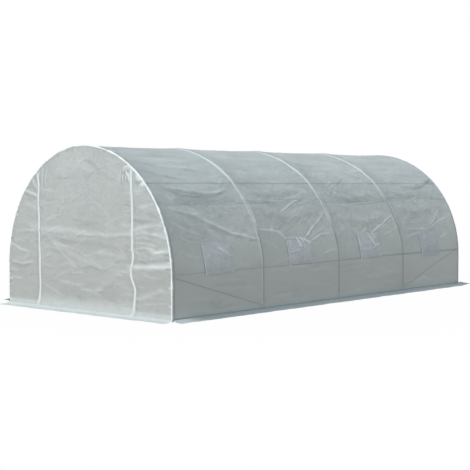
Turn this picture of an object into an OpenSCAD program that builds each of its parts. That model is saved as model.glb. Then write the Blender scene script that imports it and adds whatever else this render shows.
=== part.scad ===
// Walk-in polytunnel: five steel hoops joined by purlins and side rails, under a fitted
// woven cover with zipped ends, netted side windows and a ground skirt.
// The front faces -Y, the right-hand side is +X, and the ground is z = 0. Sizes in mm.

/* [Tunnel] */
// Length over the end panels
tunnel_l = 6000; // [4000:50:8000]
// Width over the cover
tunnel_w = 3000; // [2400:10:3600]
// Height of the upright legs below the arch
leg_h = 480; // [350:10:900]

/* [Frame] */
// Outside diameter of the hoops, purlins and rails
tube_d = 25; // [19:1:38]
// Wall of the hoop, purlin and rail tubes
tube_wall = 1.5; // [1:0.1:3]
// Distance of the purlins and rails inside the centre line of the hoops
purlin_drop = 15; // [8:1:18]
// Reach of each spigot from the centre of its hoop
spigot_l = 70; // [40:5:120]
// Angle of the shoulder purlins above the springing of the arch
shoulder_a = 45; // [38:1:60]
// Height of the side rails above the springing of the arch
rail_rise = 50; // [0:5:60]

/* [Braces] */
// Outside diameter of the brace tubes
brace_d = 19; // [14:1:24]
// Drop of the upper brace ends below the side rails
brace_drop = 45; // [40:5:180]
// Height of the lower brace ends on the neighbouring hoops
brace_foot_z = 60; // [40:5:200]
// Thickness of the flattened brace ends
lug_t = 4; // [2:0.5:6]
// Width of the flattened brace ends
lug_w = 26; // [20:1:32]
// Length of the flattened brace ends
lug_l = 55; // [40:5:90]

/* [Cover] */
// Thickness of the cover and the end panels
cover_t = 3; // [2:0.5:6]
// Height of the fold where the walls turn out into the skirt
fold_z = 20; // [15:5:80]
// Angle of the seams between the roof sheet and the side sheets
seam_a = 33.5; // [25:0.5:37]
// Diameter of the piping along both ends
welt_d = 28; // [18:1:36]
// Width of the lap at each roof seam
seam_w = 40; // [20:5:60]
// Thickness of the second layer at each roof seam
seam_t = 2; // [1:0.5:4]

/* [Skirt] */
// Width of the ground skirt
skirt_w = 180; // [120:10:400]
// Width of the sloping part of the skirt beside the wall
skirt_slope_w = 80; // [60:5:110]
// Spread of the skirt at each corner
skirt_flare = 40; // [0:5:100]

/* [Doors] */
// Distance of each zip from the middle of the end
zip_x = 865; // [500:5:1000]
// Width of the zip tape
zip_w = 34; // [20:1:60]
// Thickness of the zip tape
zip_t = 2; // [1:0.5:4]
// Width of the row of zip teeth
teeth_w = 9; // [5:1:14]
// Height of the row of zip teeth above the tape
teeth_t = 2; // [1:0.5:4]

/* [Windows] */
// Width of each window opening
window_w = 400; // [200:10:700]
// Height of each window opening along the cover
window_h = 260; // [150:10:400]
// Height of the window sill along the cover above the springing of the arch
sill_rise = 85; // [60:5:150]
// Overlap of the net on the cover all round the opening
net_lap = 15; // [10:1:40]
// Thickness of the net
net_t = 2; // [1:0.5:4]
// Overlap of the flap on the cover beside and above the opening
flap_lap = 35; // [20:1:60]
// Reach of the flap below the sill
flap_drop = 45; // [20:5:55]
// Thickness of the flap
flap_t = 2; // [1:0.5:4]

/* [Fit] */
// Clearance where two pieces seat on each other
fit_gap = 0.3; // [0.2:0.1:0.6]

/* [Hidden] */

// Facets of the wide arcs and of the tubes
arc_fn = 180;
tube_fn = 32;

// Radii from the outside of the cover inwards, about the springing line
cover_r = tunnel_w / 2;
panel_r = cover_r - cover_t - fit_gap;
hoop_r = panel_r - tube_d / 2;
purlin_r = hoop_r - purlin_drop;

// Hoop stations along the tunnel
bays = 4;
end_hoop_y = tunnel_l / 2 - cover_t - fit_gap - tube_d / 2;
bay_l = 2 * end_hoop_y / bays;
function hoop_y(i) = -end_hoop_y + i * bay_l;
function bay_y(i) = hoop_y(i) + bay_l / 2;

// Spigots and the tubes that slide over them
tube_bore_d = tube_d - 2 * tube_wall;
spigot_d = tube_bore_d - 2 * fit_gap;
purlin_seat = tube_d / 2 + fit_gap;
rail_a = asin(rail_rise / purlin_r);
joint_angles = [rail_a, shoulder_a, 90, 180 - shoulder_a, 180 - rail_a];

// Braces lie against the inner faces of the hoop legs
brace_x = hoop_r - tube_d / 2 - fit_gap - lug_t / 2;
brace_y = -tunnel_l / 2 + cover_t + fit_gap + lug_w / 2;
brace_top_z = leg_h + rail_rise - brace_drop;
brace_run = hoop_y(1) - brace_y;
brace_rise = brace_foot_z - brace_top_z;
brace_l = norm([brace_run, brace_rise]);
brace_a = atan2(brace_rise, brace_run);
lug_root = lug_l / 4;

// Angle along an arc of the given radius
function arc_a(length, radius) = length / radius * 180 / PI;

// End panels, zips and piping
end_y = tunnel_l / 2;
zip_slit = 2 * fit_gap;
welt_foot_r = cover_r - welt_d / 2;
zip_top_r = welt_foot_r - fit_gap;
zip_top_z = leg_h + sqrt(pow(zip_top_r, 2) - pow(zip_x + zip_w / 2, 2));

// Ring sector about the springing line, drawn in the cross-section
module ring_sector(outer_r, inner_r, from_a, to_a) {
    reach = 2 * outer_r;
    mid_a = (from_a + to_a) / 2;
    translate([0, leg_h])
        intersection() {
            difference() {
                circle(r = outer_r, $fn = arc_fn);
                circle(r = inner_r, $fn = arc_fn);
            }
            polygon([[0, 0],
                reach * [cos(from_a), sin(from_a)],
                reach * [cos(mid_a), sin(mid_a)],
                reach * [cos(to_a), sin(to_a)]]);
        }
}

// Runs a cross-section along the tunnel, centred on the given station
module along_tunnel(length, y = 0)
    translate([0, y, 0])
        rotate([90, 0, 0])
            linear_extrude(height = length, center = true)
                children();

// Half-circle arch on two legs, as a bar that reaches the given depth below the ground
module arch_bar(diameter, depth = 0) {
    translate([0, 0, leg_h])
        rotate([90, 0, 0])
            rotate_extrude(angle = 180, $fn = arc_fn)
                translate([hoop_r, 0])
                    circle(d = diameter, $fn = tube_fn);
    for (side = [-1, 1])
        translate([side * hoop_r, 0, -depth])
            cylinder(d = diameter, h = leg_h + depth, $fn = tube_fn);
}

// One hoop: a bent tube, open at both feet, with spigots towards its neighbours
module hoop(i)
    color("silver")
        translate([0, hoop_y(i), 0])
            difference() {
                union() {
                    arch_bar(tube_d);
                    for (a = joint_angles)
                        translate([purlin_r * cos(a), 0, leg_h + purlin_r * sin(a)])
                            spigot(i);
                }
                arch_bar(tube_bore_d, fit_gap);
            }

// Spigot through one hoop, cut short on the outer side of the end hoops
module spigot(i) {
    back = i > 0 ? spigot_l : 0;
    front = i < bays ? spigot_l : 0;
    translate([0, -back, 0])
        rotate([-90, 0, 0])
            cylinder(d = spigot_d, h = back + front, $fn = tube_fn);
}

module front_hoop() hoop(0);
module second_hoop() hoop(1);
module middle_hoop() hoop(2);
module fourth_hoop() hoop(3);
module rear_hoop() hoop(4);

// A line of tubes at one angle of the arch, one tube to each bay
module tube_line(a) {
    color("silver")
        for (i = [0 : bays - 1])
            translate([purlin_r * cos(a), hoop_y(i) + purlin_seat, leg_h + purlin_r * sin(a)])
                rotate([-90, 0, 0])
                    bored_tube(bay_l - 2 * purlin_seat);
}

// Tube with a bore that slides over the spigots
module bored_tube(length)
    difference() {
        cylinder(d = tube_d, h = length, $fn = tube_fn);
        translate([0, 0, -fit_gap])
            cylinder(d = tube_bore_d, h = length + 2 * fit_gap, $fn = tube_fn);
    }

module ridge_purlin() tube_line(90);
module right_shoulder_purlin() tube_line(shoulder_a);
module left_shoulder_purlin() tube_line(180 - shoulder_a);
module right_side_rail() tube_line(rail_a);
module left_side_rail() tube_line(180 - rail_a);

// Flattened end of a brace, with its round end at the hoop
module brace_lug()
    rotate([90, 0, 90])
        linear_extrude(height = lug_t, center = true)
            union() {
                circle(d = lug_w, $fn = tube_fn);
                translate([0, -lug_w / 2])
                    square([lug_l + lug_root, lug_w]);
            }

// Brace from the front hoop's rail joint down to the foot of the second hoop
module brace()
    translate([brace_x, brace_y, brace_top_z])
        rotate([brace_a, 0, 0]) {
            translate([0, lug_l, 0])
                rotate([-90, 0, 0])
                    cylinder(d = brace_d, h = brace_l - 2 * lug_l, $fn = tube_fn);
            brace_lug();
            translate([0, brace_l, 0])
                rotate([0, 0, 180])
                    brace_lug();
        }

// Front and rear brace of the right-hand side
module right_braces()
    color("silver") {
        brace();
        mirror([0, 1, 0])
            brace();
    }

module left_braces()
    mirror([1, 0, 0])
        right_braces();

// Roof sheet between the two seams
module roof_cover()
    color("gainsboro")
        along_tunnel(tunnel_l)
            ring_sector(cover_r, cover_r - cover_t, seam_a, 180 - seam_a);

// Second layer of cloth where the roof sheet laps over each side sheet
module roof_seams()
    color("white")
        for (side = [0, 1])
            mirror([side, 0, 0])
                along_tunnel(tunnel_l - 2 * (welt_d / 2 + fit_gap))
                    ring_sector(cover_r + fit_gap + seam_t, cover_r + fit_gap,
                        seam_a - arc_a(seam_w, cover_r), seam_a);

// Side sheet from the fold up to the seam, with a window in each bay
module right_side_cover()
    color("gainsboro")
        difference() {
            along_tunnel(tunnel_l)
                union() {
                    ring_sector(cover_r, cover_r - cover_t, 0, seam_a);
                    translate([cover_r - cover_t, fold_z])
                        square([cover_t, leg_h - fold_z]);
                }
            window_patches(cover_r + cover_t, cover_r - 2 * cover_t,
                sill_rise, window_h, window_w);
        }

module left_side_cover()
    mirror([1, 0, 0])
        right_side_cover();

// One patch to each bay, following the curve of the right-hand side
module window_patches(outer_r, inner_r, foot, height, width)
    for (i = [0 : bays - 1])
        along_tunnel(width, bay_y(i))
            ring_sector(outer_r, inner_r,
                arc_a(foot, cover_r), arc_a(foot + height, cover_r));

// Nets sewn behind the openings
module right_window_nets()
    color("lavender")
        window_patches(panel_r, panel_r - net_t,
            sill_rise - net_lap, window_h + 2 * net_lap, window_w + 2 * net_lap);

module left_window_nets()
    mirror([1, 0, 0])
        right_window_nets();

// Roll-up flaps hanging closed over the openings
module right_window_flaps()
    color("lavender")
        window_patches(cover_r + fit_gap + flap_t, cover_r + fit_gap,
            sill_rise - flap_drop, window_h + flap_drop + flap_lap, window_w + 2 * flap_lap);

module left_window_flaps()
    mirror([1, 0, 0])
        right_window_flaps();

// Outline of an end, cut to the strip between two distances from the middle
module end_strip(from_x, to_x)
    intersection() {
        union() {
            translate([0, leg_h])
                circle(r = panel_r, $fn = arc_fn);
            translate([-panel_r, fold_z])
                square([2 * panel_r, leg_h - fold_z]);
        }
        translate([from_x, fold_z])
            square([to_x - from_x, leg_h + panel_r - fold_z]);
    }

// Panel of the front end
module end_panel(from_x, to_x)
    color("whitesmoke")
        along_tunnel(cover_t, cover_t / 2 - end_y)
            end_strip(from_x, to_x);

module front_left_panel() end_panel(-panel_r, -zip_x - zip_slit / 2);
module front_door_panel() end_panel(zip_slit / 2 - zip_x, zip_x - zip_slit / 2);
module front_right_panel() end_panel(zip_x + zip_slit / 2, panel_r);

module rear_left_panel()
    mirror([0, 1, 0])
        front_left_panel();

module rear_door_panel()
    mirror([0, 1, 0])
        front_door_panel();

module rear_right_panel()
    mirror([0, 1, 0])
        front_right_panel();

// Zip tape with its raised row of teeth, on both edges of the door
module front_zips()
    color("white")
        for (side = [-1, 1])
            translate([side * zip_x, -end_y - fit_gap, fold_z]) {
                zip_bar(zip_w, zip_t);
                zip_bar(teeth_w, zip_t + teeth_t);
            }

// Upright bar that stands proud of the end panel by its thickness
module zip_bar(width, thickness)
    translate([-width / 2, -thickness, 0])
        cube([width, thickness, zip_top_z - fold_z]);

module rear_zips()
    mirror([0, 1, 0])
        front_zips();

// Section of the piping round the outer corner of the cover and the end panel
module welt_section()
    difference() {
        translate([cover_r, 0])
            circle(d = welt_d, $fn = tube_fn);
        translate([cover_r + fit_gap - welt_d, fit_gap - welt_d])
            square(welt_d);
    }

// Piping along the front edge, down both corners to the fold
module front_welt()
    color("white")
        translate([0, -end_y, 0]) {
            translate([0, 0, leg_h])
                rotate([90, 0, 0])
                    rotate_extrude(angle = 180, $fn = arc_fn)
                        welt_section();
            for (side = [0, 1])
                mirror([side, 0, 0])
                    translate([0, 0, fold_z])
                        linear_extrude(height = leg_h - fold_z)
                            mirror([0, 1])
                                welt_section();
        }

module rear_welt()
    mirror([0, 1, 0])
        front_welt();

// Skirt along a wall that faces +X at the given distance
module skirt(wall_x, length)
    color("gainsboro")
        intersection() {
            along_tunnel(length + 2 * skirt_flare)
                polygon([[wall_x - cover_t, fold_z - fit_gap],
                    [wall_x, fold_z - fit_gap],
                    [wall_x + skirt_slope_w, cover_t],
                    [wall_x + skirt_w, cover_t],
                    [wall_x + skirt_w, 0],
                    [wall_x + skirt_slope_w - cover_t, 0],
                    [wall_x - cover_t, fold_z - fit_gap - cover_t]]);
            linear_extrude(height = fold_z)
                polygon([[wall_x - cover_t, -length / 2],
                    [wall_x + skirt_w, -length / 2 - skirt_flare],
                    [wall_x + skirt_w, length / 2 + skirt_flare],
                    [wall_x - cover_t, length / 2]]);
        }

module right_skirt() skirt(cover_r, tunnel_l);

module left_skirt()
    mirror([1, 0, 0])
        right_skirt();

module front_skirt()
    rotate([0, 0, -90])
        skirt(end_y, 2 * panel_r);

module rear_skirt()
    mirror([0, 1, 0])
        front_skirt();

front_hoop();
second_hoop();
middle_hoop();
fourth_hoop();
rear_hoop();
ridge_purlin();
left_shoulder_purlin();
right_shoulder_purlin();
left_side_rail();
right_side_rail();
left_braces();
right_braces();
roof_cover();
left_side_cover();
right_side_cover();
roof_seams();
front_left_panel();
front_door_panel();
front_right_panel();
rear_left_panel();
rear_door_panel();
rear_right_panel();
front_zips();
rear_zips();
front_welt();
rear_welt();
left_window_nets();
right_window_nets();
left_window_flaps();
right_window_flaps();
front_skirt();
rear_skirt();
left_skirt();
right_skirt();
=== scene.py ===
import math

import bpy
import numpy as np
from mathutils import Matrix, Vector


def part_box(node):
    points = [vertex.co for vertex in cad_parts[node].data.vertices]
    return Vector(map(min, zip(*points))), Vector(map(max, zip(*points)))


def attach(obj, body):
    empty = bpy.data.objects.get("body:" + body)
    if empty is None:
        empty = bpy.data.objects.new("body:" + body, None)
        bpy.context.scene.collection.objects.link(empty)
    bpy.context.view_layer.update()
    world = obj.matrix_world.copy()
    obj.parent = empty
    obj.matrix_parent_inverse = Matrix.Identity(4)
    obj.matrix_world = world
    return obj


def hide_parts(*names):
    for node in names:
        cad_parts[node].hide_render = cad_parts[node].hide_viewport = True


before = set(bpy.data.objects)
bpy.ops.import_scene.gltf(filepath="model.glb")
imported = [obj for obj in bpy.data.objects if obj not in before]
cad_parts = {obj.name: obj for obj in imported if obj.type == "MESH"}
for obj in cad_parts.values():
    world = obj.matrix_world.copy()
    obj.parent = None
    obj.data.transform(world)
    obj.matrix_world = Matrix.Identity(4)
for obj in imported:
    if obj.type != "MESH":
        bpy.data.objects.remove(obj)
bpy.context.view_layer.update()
bodyName = "root"

# driving places, all read from the solids
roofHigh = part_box("roof_cover")[1]
sideLow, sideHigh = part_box("right_side_cover")
railLow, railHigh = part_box("right_side_rail")
shoulderLow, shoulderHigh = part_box("right_shoulder_purlin")
braceLow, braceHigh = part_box("right_braces")
flapLow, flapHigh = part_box("right_window_flaps")
netLow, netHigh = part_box("right_window_nets")
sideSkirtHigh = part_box("right_skirt")[1]
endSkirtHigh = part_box("front_skirt")[1]
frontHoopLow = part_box("front_hoop")[0]
hoopNodes = ["front_hoop", "second_hoop", "middle_hoop", "fourth_hoop", "rear_hoop"]

coverR = sideHigh.x  # outside of the cover about the springing line
legH = roofHigh.z - coverR  # height of the springing line
foldZ = sideLow.z  # where the walls turn out into the skirt
endY = roofHigh.y  # outer face of the end panels
tubeR = (railHigh.x - railLow.x) / 2
firstHoopY = frontHoopLow.y + tubeR
bayCount = len(hoopNodes) - 1
bayL = -2 * firstHoopY / bayCount
bayYs = [firstHoopY + (i + 0.5) * bayL for i in range(bayCount)]
railZ = (railLow.z + railHigh.z) / 2
shoulderZ = (shoulderLow.z + shoulderHigh.z) / 2
skirtW = sideSkirtHigh.x - coverR
clothT = 0.003  # the solids' cloth thickness
clothBack = clothT * 0.4  # how far inside the solids' outer face the sheets lie
print("frame read: radius", round(coverR, 3), "springing", round(legH, 3))


# camera at the photograph's viewing angle
cameraView = {
    "azimuth": 42.490,  # degrees round from the door end towards +X
    "elevation": 2.533,
    "roll": -0.214,
    "place": (9.729, -10.976, 1.459),
    "focalPixels": 1053.0,
    "framePixels": 470.0,
    "sensor": 36.0,
}


def makeCamera(view):
    az, el, roll = (math.radians(view[k]) for k in ("azimuth", "elevation", "roll"))
    back = Vector((math.sin(az) * math.cos(el), -math.cos(az) * math.cos(el), math.sin(el)))
    right = (-back).cross(Vector((0, 0, 1))).normalized()
    up = right.cross(-back)
    rolledRight = right * math.cos(roll) + up * math.sin(roll)
    rolledUp = up * math.cos(roll) - right * math.sin(roll)
    turn = Matrix((rolledRight, rolledUp, back)).transposed().to_4x4()
    data = bpy.data.cameras.new("photoCamera")
    data.sensor_width = view["sensor"]
    data.lens = view["focalPixels"] / view["framePixels"] * view["sensor"]
    data.clip_end = 400.0
    camera = bpy.data.objects.new("photoCamera", data)
    bpy.context.scene.collection.objects.link(camera)
    camera.matrix_world = Matrix.Translation(Vector(view["place"])) @ turn
    bpy.context.scene.camera = camera


makeCamera(cameraView)
print("camera placed")


# small helpers for shader trees
def newMaterial(name):
    mat = bpy.data.materials.new(name)
    mat.use_nodes = True
    tree = mat.node_tree
    return mat, tree, tree.nodes["Principled BSDF"]


def addNode(tree, kind, **settings):
    node = tree.nodes.new(kind)
    for key, value in settings.items():
        setattr(node, key, value)
    return node


def feed(tree, value, socket):  # a socket is linked, a number or colour is set
    if hasattr(value, "links"):
        tree.links.new(value, socket)
    else:
        socket.default_value = value


def calc(tree, operation, a, b=None, c=None, clamp=False):
    node = addNode(tree, "ShaderNodeMath", operation=operation, use_clamp=clamp)
    for socket, value in zip(node.inputs, (a, b, c)):
        if value is not None:
            feed(tree, value, socket)
    return node.outputs[0]


def stretch(tree, value, low, high, toLow=0.0, toHigh=1.0):  # smooth and clamped
    node = addNode(tree, "ShaderNodeMapRange", interpolation_type="SMOOTHSTEP", clamp=True)
    for socket, number in zip(node.inputs, (value, low, high, toLow, toHigh)):
        feed(tree, number, socket)
    return node.outputs[0]


def blendColour(tree, amount, a, b, how="MIX"):
    node = addNode(tree, "ShaderNodeMix", data_type="RGBA", blend_type=how)
    feed(tree, amount, node.inputs[0])
    feed(tree, a, node.inputs[6])
    feed(tree, b, node.inputs[7])
    return node.outputs[2]


def noise(tree, where, scale, detail=3.0, roughness=0.55, distortion=0.0):
    node = addNode(tree, "ShaderNodeTexNoise")
    tree.links.new(where, node.inputs["Vector"])
    node.inputs["Scale"].default_value = scale
    node.inputs["Detail"].default_value = detail
    node.inputs["Roughness"].default_value = roughness
    node.inputs["Distortion"].default_value = distortion
    return node.outputs[0]


def vector(tree, operation, a, b):
    node = addNode(tree, "ShaderNodeVectorMath", operation=operation)
    feed(tree, a, node.inputs[0])
    feed(tree, b, node.inputs[1])
    return node.outputs[0]


def bumpFrom(tree, height, strength, distance):
    node = addNode(tree, "ShaderNodeBump")
    tree.links.new(height, node.inputs["Height"])
    node.inputs["Strength"].default_value = strength
    node.inputs["Distance"].default_value = distance
    return node.outputs[0]


def newGroup(name, inputs, outputs):
    group = bpy.data.node_groups.new(name, "ShaderNodeTree")
    for label, kind, value in inputs:
        socket = group.interface.new_socket(name=label, in_out="INPUT", socket_type=kind)
        socket.default_value = value
    for label, kind in outputs:
        group.interface.new_socket(name=label, in_out="OUTPUT", socket_type=kind)
    return group, group.nodes.new("NodeGroupInput").outputs, group.nodes.new("NodeGroupOutput").inputs


def useGroup(tree, group, **values):
    node = addNode(tree, "ShaderNodeGroup", node_tree=group)
    for label, value in values.items():
        feed(tree, value, node.inputs[label])
    return node.outputs


# shared effects
def makeWeave():  # flat tapes crossing over and under, in metres of the UV map
    group, given, made = newGroup(
        "tapeWeave",
        [("Pitch", "NodeSocketFloat", 0.0025)],
        [("Height", "NodeSocketFloat"), ("Gap", "NodeSocketFloat")],
    )
    uv = addNode(group, "ShaderNodeUVMap")
    parts = addNode(group, "ShaderNodeSeparateXYZ")
    group.links.new(uv.outputs[0], parts.inputs[0])
    across = calc(group, "DIVIDE", parts.outputs[0], given["Pitch"])
    along = calc(group, "DIVIDE", parts.outputs[1], given["Pitch"])
    tapeA = calc(group, "ABSOLUTE", calc(group, "SINE", calc(group, "MULTIPLY", across, math.pi)))
    tapeB = calc(group, "ABSOLUTE", calc(group, "SINE", calc(group, "MULTIPLY", along, math.pi)))
    squares = calc(group, "ADD", calc(group, "FLOOR", across), calc(group, "FLOOR", along))
    turn = calc(group, "FLOORED_MODULO", squares, 2.0)
    over = calc(group, "MULTIPLY", tapeA, turn)
    under = calc(group, "MULTIPLY", tapeB, calc(group, "SUBTRACT", 1.0, turn))
    group.links.new(calc(group, "ADD", over, under), made["Height"])
    group.links.new(stretch(group, calc(group, "MINIMUM", tapeA, tapeB), 0.0, 0.3, 1.0, 0.0), made["Gap"])
    return group


def makeMottle():  # cloudy film thickness, long pulled streaks and a little dust
    group, given, made = newGroup(
        "filmMottle",
        [("Cloud", "NodeSocketFloat", 1.6), ("Streak", "NodeSocketFloat", 7.0)],
        [("Cloud", "NodeSocketFloat"), ("Streak", "NodeSocketFloat"), ("Dust", "NodeSocketFloat")],
    )
    place = addNode(group, "ShaderNodeTexCoord").outputs["Object"]
    clouds = addNode(group, "ShaderNodeTexNoise")
    group.links.new(place, clouds.inputs["Vector"])
    group.links.new(given["Cloud"], clouds.inputs["Scale"])
    clouds.inputs["Detail"].default_value = 5.0
    group.links.new(stretch(group, clouds.outputs[0], 0.3, 0.7), made["Cloud"])
    streaks = addNode(group, "ShaderNodeTexNoise")
    group.links.new(vector(group, "MULTIPLY", place, (1.0, 0.22, 1.0)), streaks.inputs["Vector"])
    group.links.new(given["Streak"], streaks.inputs["Scale"])
    streaks.inputs["Detail"].default_value = 4.0
    streaks.inputs["Distortion"].default_value = 0.6
    group.links.new(stretch(group, streaks.outputs[0], 0.32, 0.68), made["Streak"])
    low = addNode(group, "ShaderNodeSeparateXYZ")
    group.links.new(place, low.inputs[0])
    splash = calc(group, "MULTIPLY", noise(group, place, 11.0), 0.35)
    reach = calc(group, "SUBTRACT", low.outputs[2], splash)
    group.links.new(stretch(group, reach, -0.1, 0.35, 1.0, 0.0), made["Dust"])
    return group


# painted shadows of the tubes behind the cover, and painted highlights along the upper hoops; all but the
# offsets are ramps up the wall, along the tunnel or away from a tube: from, to, value before, value after
tubeLines = {
    "paleAbove": (0.92, 1.12, 0.0, 1.0),  # a hoop is a painted shadow line below this and a painted highlight above
    "paleHigher": (0.6, 1.5, 0.0, 0.30),  # which starts higher up in the rear bays
    "lean": (0.55, 1.55, 0.0, 0.082),  # the inner hoops' lines lean to the front, as in the photograph
    "leanEnds": (2.2, 2.6, 1.0, 0.0),  # the end hoops don't
    "leanNear": (-1.9, -0.3, 0.75, 1.0),  # and the second one leans less
    "ribWider": (0.95, 1.75, -0.003, 0.009),  # where the cloth is pressed down on the hoop
    "ribEdge": (0.007, 0.016, 1.0, 0.0),
    "ribMiddle": -0.2,
    "ribEnds": (2.5, 2.7, 1.0, 0.0),  # no pale line beside the piping
    "ribFaint": (1.20, 1.80, 0.42, 0.95),
    "ribCrown": (1.72, 1.90, 1.0, 0.72),
    "darkOffset": 0.010,
    "darkEdge": (0.004, 0.012, 1.0, 0.0),
    "darkBolder": (-1.5, 2.5, 0.0, 0.005),  # towards the rear
    "rearEdge": (2.968, 2.986, 0.0, 0.9),  # painted shade along the last hoop, at the cover's edge
    "glintOffset": -0.014,  # a painted highlight beside the hoop's painted shadow
    "glintEdge": (0.003, 0.014, 1.0, 0.0),
    "glintFade": (-1.2, 0.3, 0.26, 0.0),
    "glintFront": (-2.9, -2.6, 0.0, 1.0),
    "railHeight": (-1.0, 1.5, railZ - 0.018, railZ),
    "railEdge": (0.003, 0.011, 1.0, 0.0),
    "railBolder": (-1.5, 2.5, 0.0, 0.004),
    "railFade": (-2.0, 2.5, 0.62, 1.0),
    "purlinEdge": (0.003, 0.012, 0.9, 0.0),
    "purlinPatches": (0.38, 0.62, 0.65, 1.0),
    "braceTop": (bayL, 2.6, braceHigh.z - 0.013, braceHigh.z + 0.042),  # higher at the rear, as photographed
    "braceEdge": (0.003, 0.011, 0.9, 0.0),
    "braceEnds": 0.026,  # flat ends of the brace, off its drop
}


def makeBehind(lines):  # painted shadows of the frame behind the cover, and painted highlights along the upper hoops
    group, _, made = newGroup("paintedFrameLightShade", [], [("Shade", "NodeSocketFloat"), ("HoopHighlight", "NodeSocketFloat")])
    place = addNode(group, "ShaderNodeTexCoord").outputs["Object"]
    parts = addNode(group, "ShaderNodeSeparateXYZ")
    group.links.new(place, parts.inputs[0])
    y, z = parts.outputs[1], parts.outputs[2]

    def ramp(value, key):
        return stretch(group, value, *lines[key])

    def times(a, *others):
        for b in others:
            a = calc(group, "MULTIPLY", a, b)
        return a

    def minus(a, b):
        return calc(group, "SUBTRACT", a, b)

    def size(a):
        return calc(group, "ABSOLUTE", a)

    upper = ramp(minus(z, ramp(y, "paleHigher")), "paleAbove")
    lower = minus(1.0, upper)
    leaning = times(ramp(z, "lean"), ramp(size(y), "leanEnds"), ramp(y, "leanNear"))
    along = calc(group, "ADD", y, leaning)

    def toHoop(offset=0.0):  # distance along the tunnel from the nearest hoop
        return calc(group, "PINGPONG", minus(along, firstHoopY + offset), bayL / 2)

    ribLine = ramp(minus(toHoop(), ramp(z, "ribWider")), "ribEdge")
    ribLine = times(ribLine, ramp(size(minus(y, lines["ribMiddle"])), "ribEnds"))
    ribLine = times(ribLine, ramp(z, "ribFaint"), ramp(z, "ribCrown"))
    darkLine = ramp(minus(toHoop(lines["darkOffset"]), ramp(y, "darkBolder")), "darkEdge")
    hoopDark = times(calc(group, "MAXIMUM", darkLine, ramp(y, "rearEdge")), lower)
    glint = times(ramp(toHoop(lines["glintOffset"]), "glintEdge"), lower)
    glint = times(glint, ramp(y, "glintFade"), ramp(y, "glintFront"))
    ribHighlight = calc(group, "ADD", times(ribLine, upper), glint)

    railOff = minus(size(minus(z, ramp(y, "railHeight"))), ramp(y, "railBolder"))
    railLine = times(ramp(railOff, "railEdge"), ramp(y, "railFade"))
    patchy = ramp(noise(group, place, 5.0), "purlinPatches")
    purlinLine = times(ramp(size(minus(z, shoulderZ)), "purlinEdge"), patchy)

    slope = math.atan2(braceHigh.z - braceLow.z - lines["braceEnds"], bayL)
    fromEnd = minus(-firstHoopY, size(y))
    below = minus(ramp(y, "braceTop"), z)
    braceOff = size(minus(times(below, math.cos(slope)), times(fromEnd, math.sin(slope))))
    inBay = times(calc(group, "LESS_THAN", z, railZ), calc(group, "LESS_THAN", fromEnd, bayL))
    braceLine = times(ramp(braceOff, "braceEdge"), inBay)

    shade = hoopDark
    for line in (railLine, purlinLine, braceLine):
        shade = calc(group, "MAXIMUM", shade, line)
    group.links.new(shade, made["Shade"])
    group.links.new(ribHighlight, made["HoopHighlight"])
    return group


def makeCrumple():  # flat facets of a film that was packed folded, each tilted its own way
    group, given, made = newGroup(
        "foldedFacets",
        [("Size", "NodeSocketFloat", 20.0)],
        [("Height", "NodeSocketFloat"), ("Tone", "NodeSocketFloat")],
    )
    place = addNode(group, "ShaderNodeTexCoord").outputs["Object"]
    bend = addNode(group, "ShaderNodeTexNoise")
    group.links.new(place, bend.inputs["Vector"])
    bend.inputs["Scale"].default_value = 7.0
    pushed = vector(group, "MULTIPLY", bend.outputs["Color"], (0.12, 0.12, 0.12))
    bent = vector(group, "MULTIPLY", vector(group, "ADD", place, pushed), (1.0, 0.55, 1.0))
    total = 0.0
    for factor, weight in ((1.0, 1.0), (2.2, 0.6)):
        cells = addNode(group, "ShaderNodeTexVoronoi")
        group.links.new(bent, cells.inputs["Vector"])
        group.links.new(calc(group, "MULTIPLY", given["Size"], factor), cells.inputs["Scale"])
        away = vector(group, "SUBTRACT", bent, cells.outputs["Position"])
        lean = vector(group, "SUBTRACT", cells.outputs["Color"], (0.5, 0.5, 0.5))
        dot = addNode(group, "ShaderNodeVectorMath", operation="DOT_PRODUCT")
        group.links.new(away, dot.inputs[0])
        group.links.new(lean, dot.inputs[1])
        total = calc(group, "MULTIPLY_ADD", dot.outputs["Value"], weight, total)
    group.links.new(total, made["Height"])
    group.links.new(stretch(group, noise(group, bent, 45.0, 2.5), 0.36, 0.64), made["Tone"])
    return group


weave = makeWeave()
mottle = makeMottle()
behind = makeBehind(tubeLines)
crumple = makeCrumple()


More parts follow.
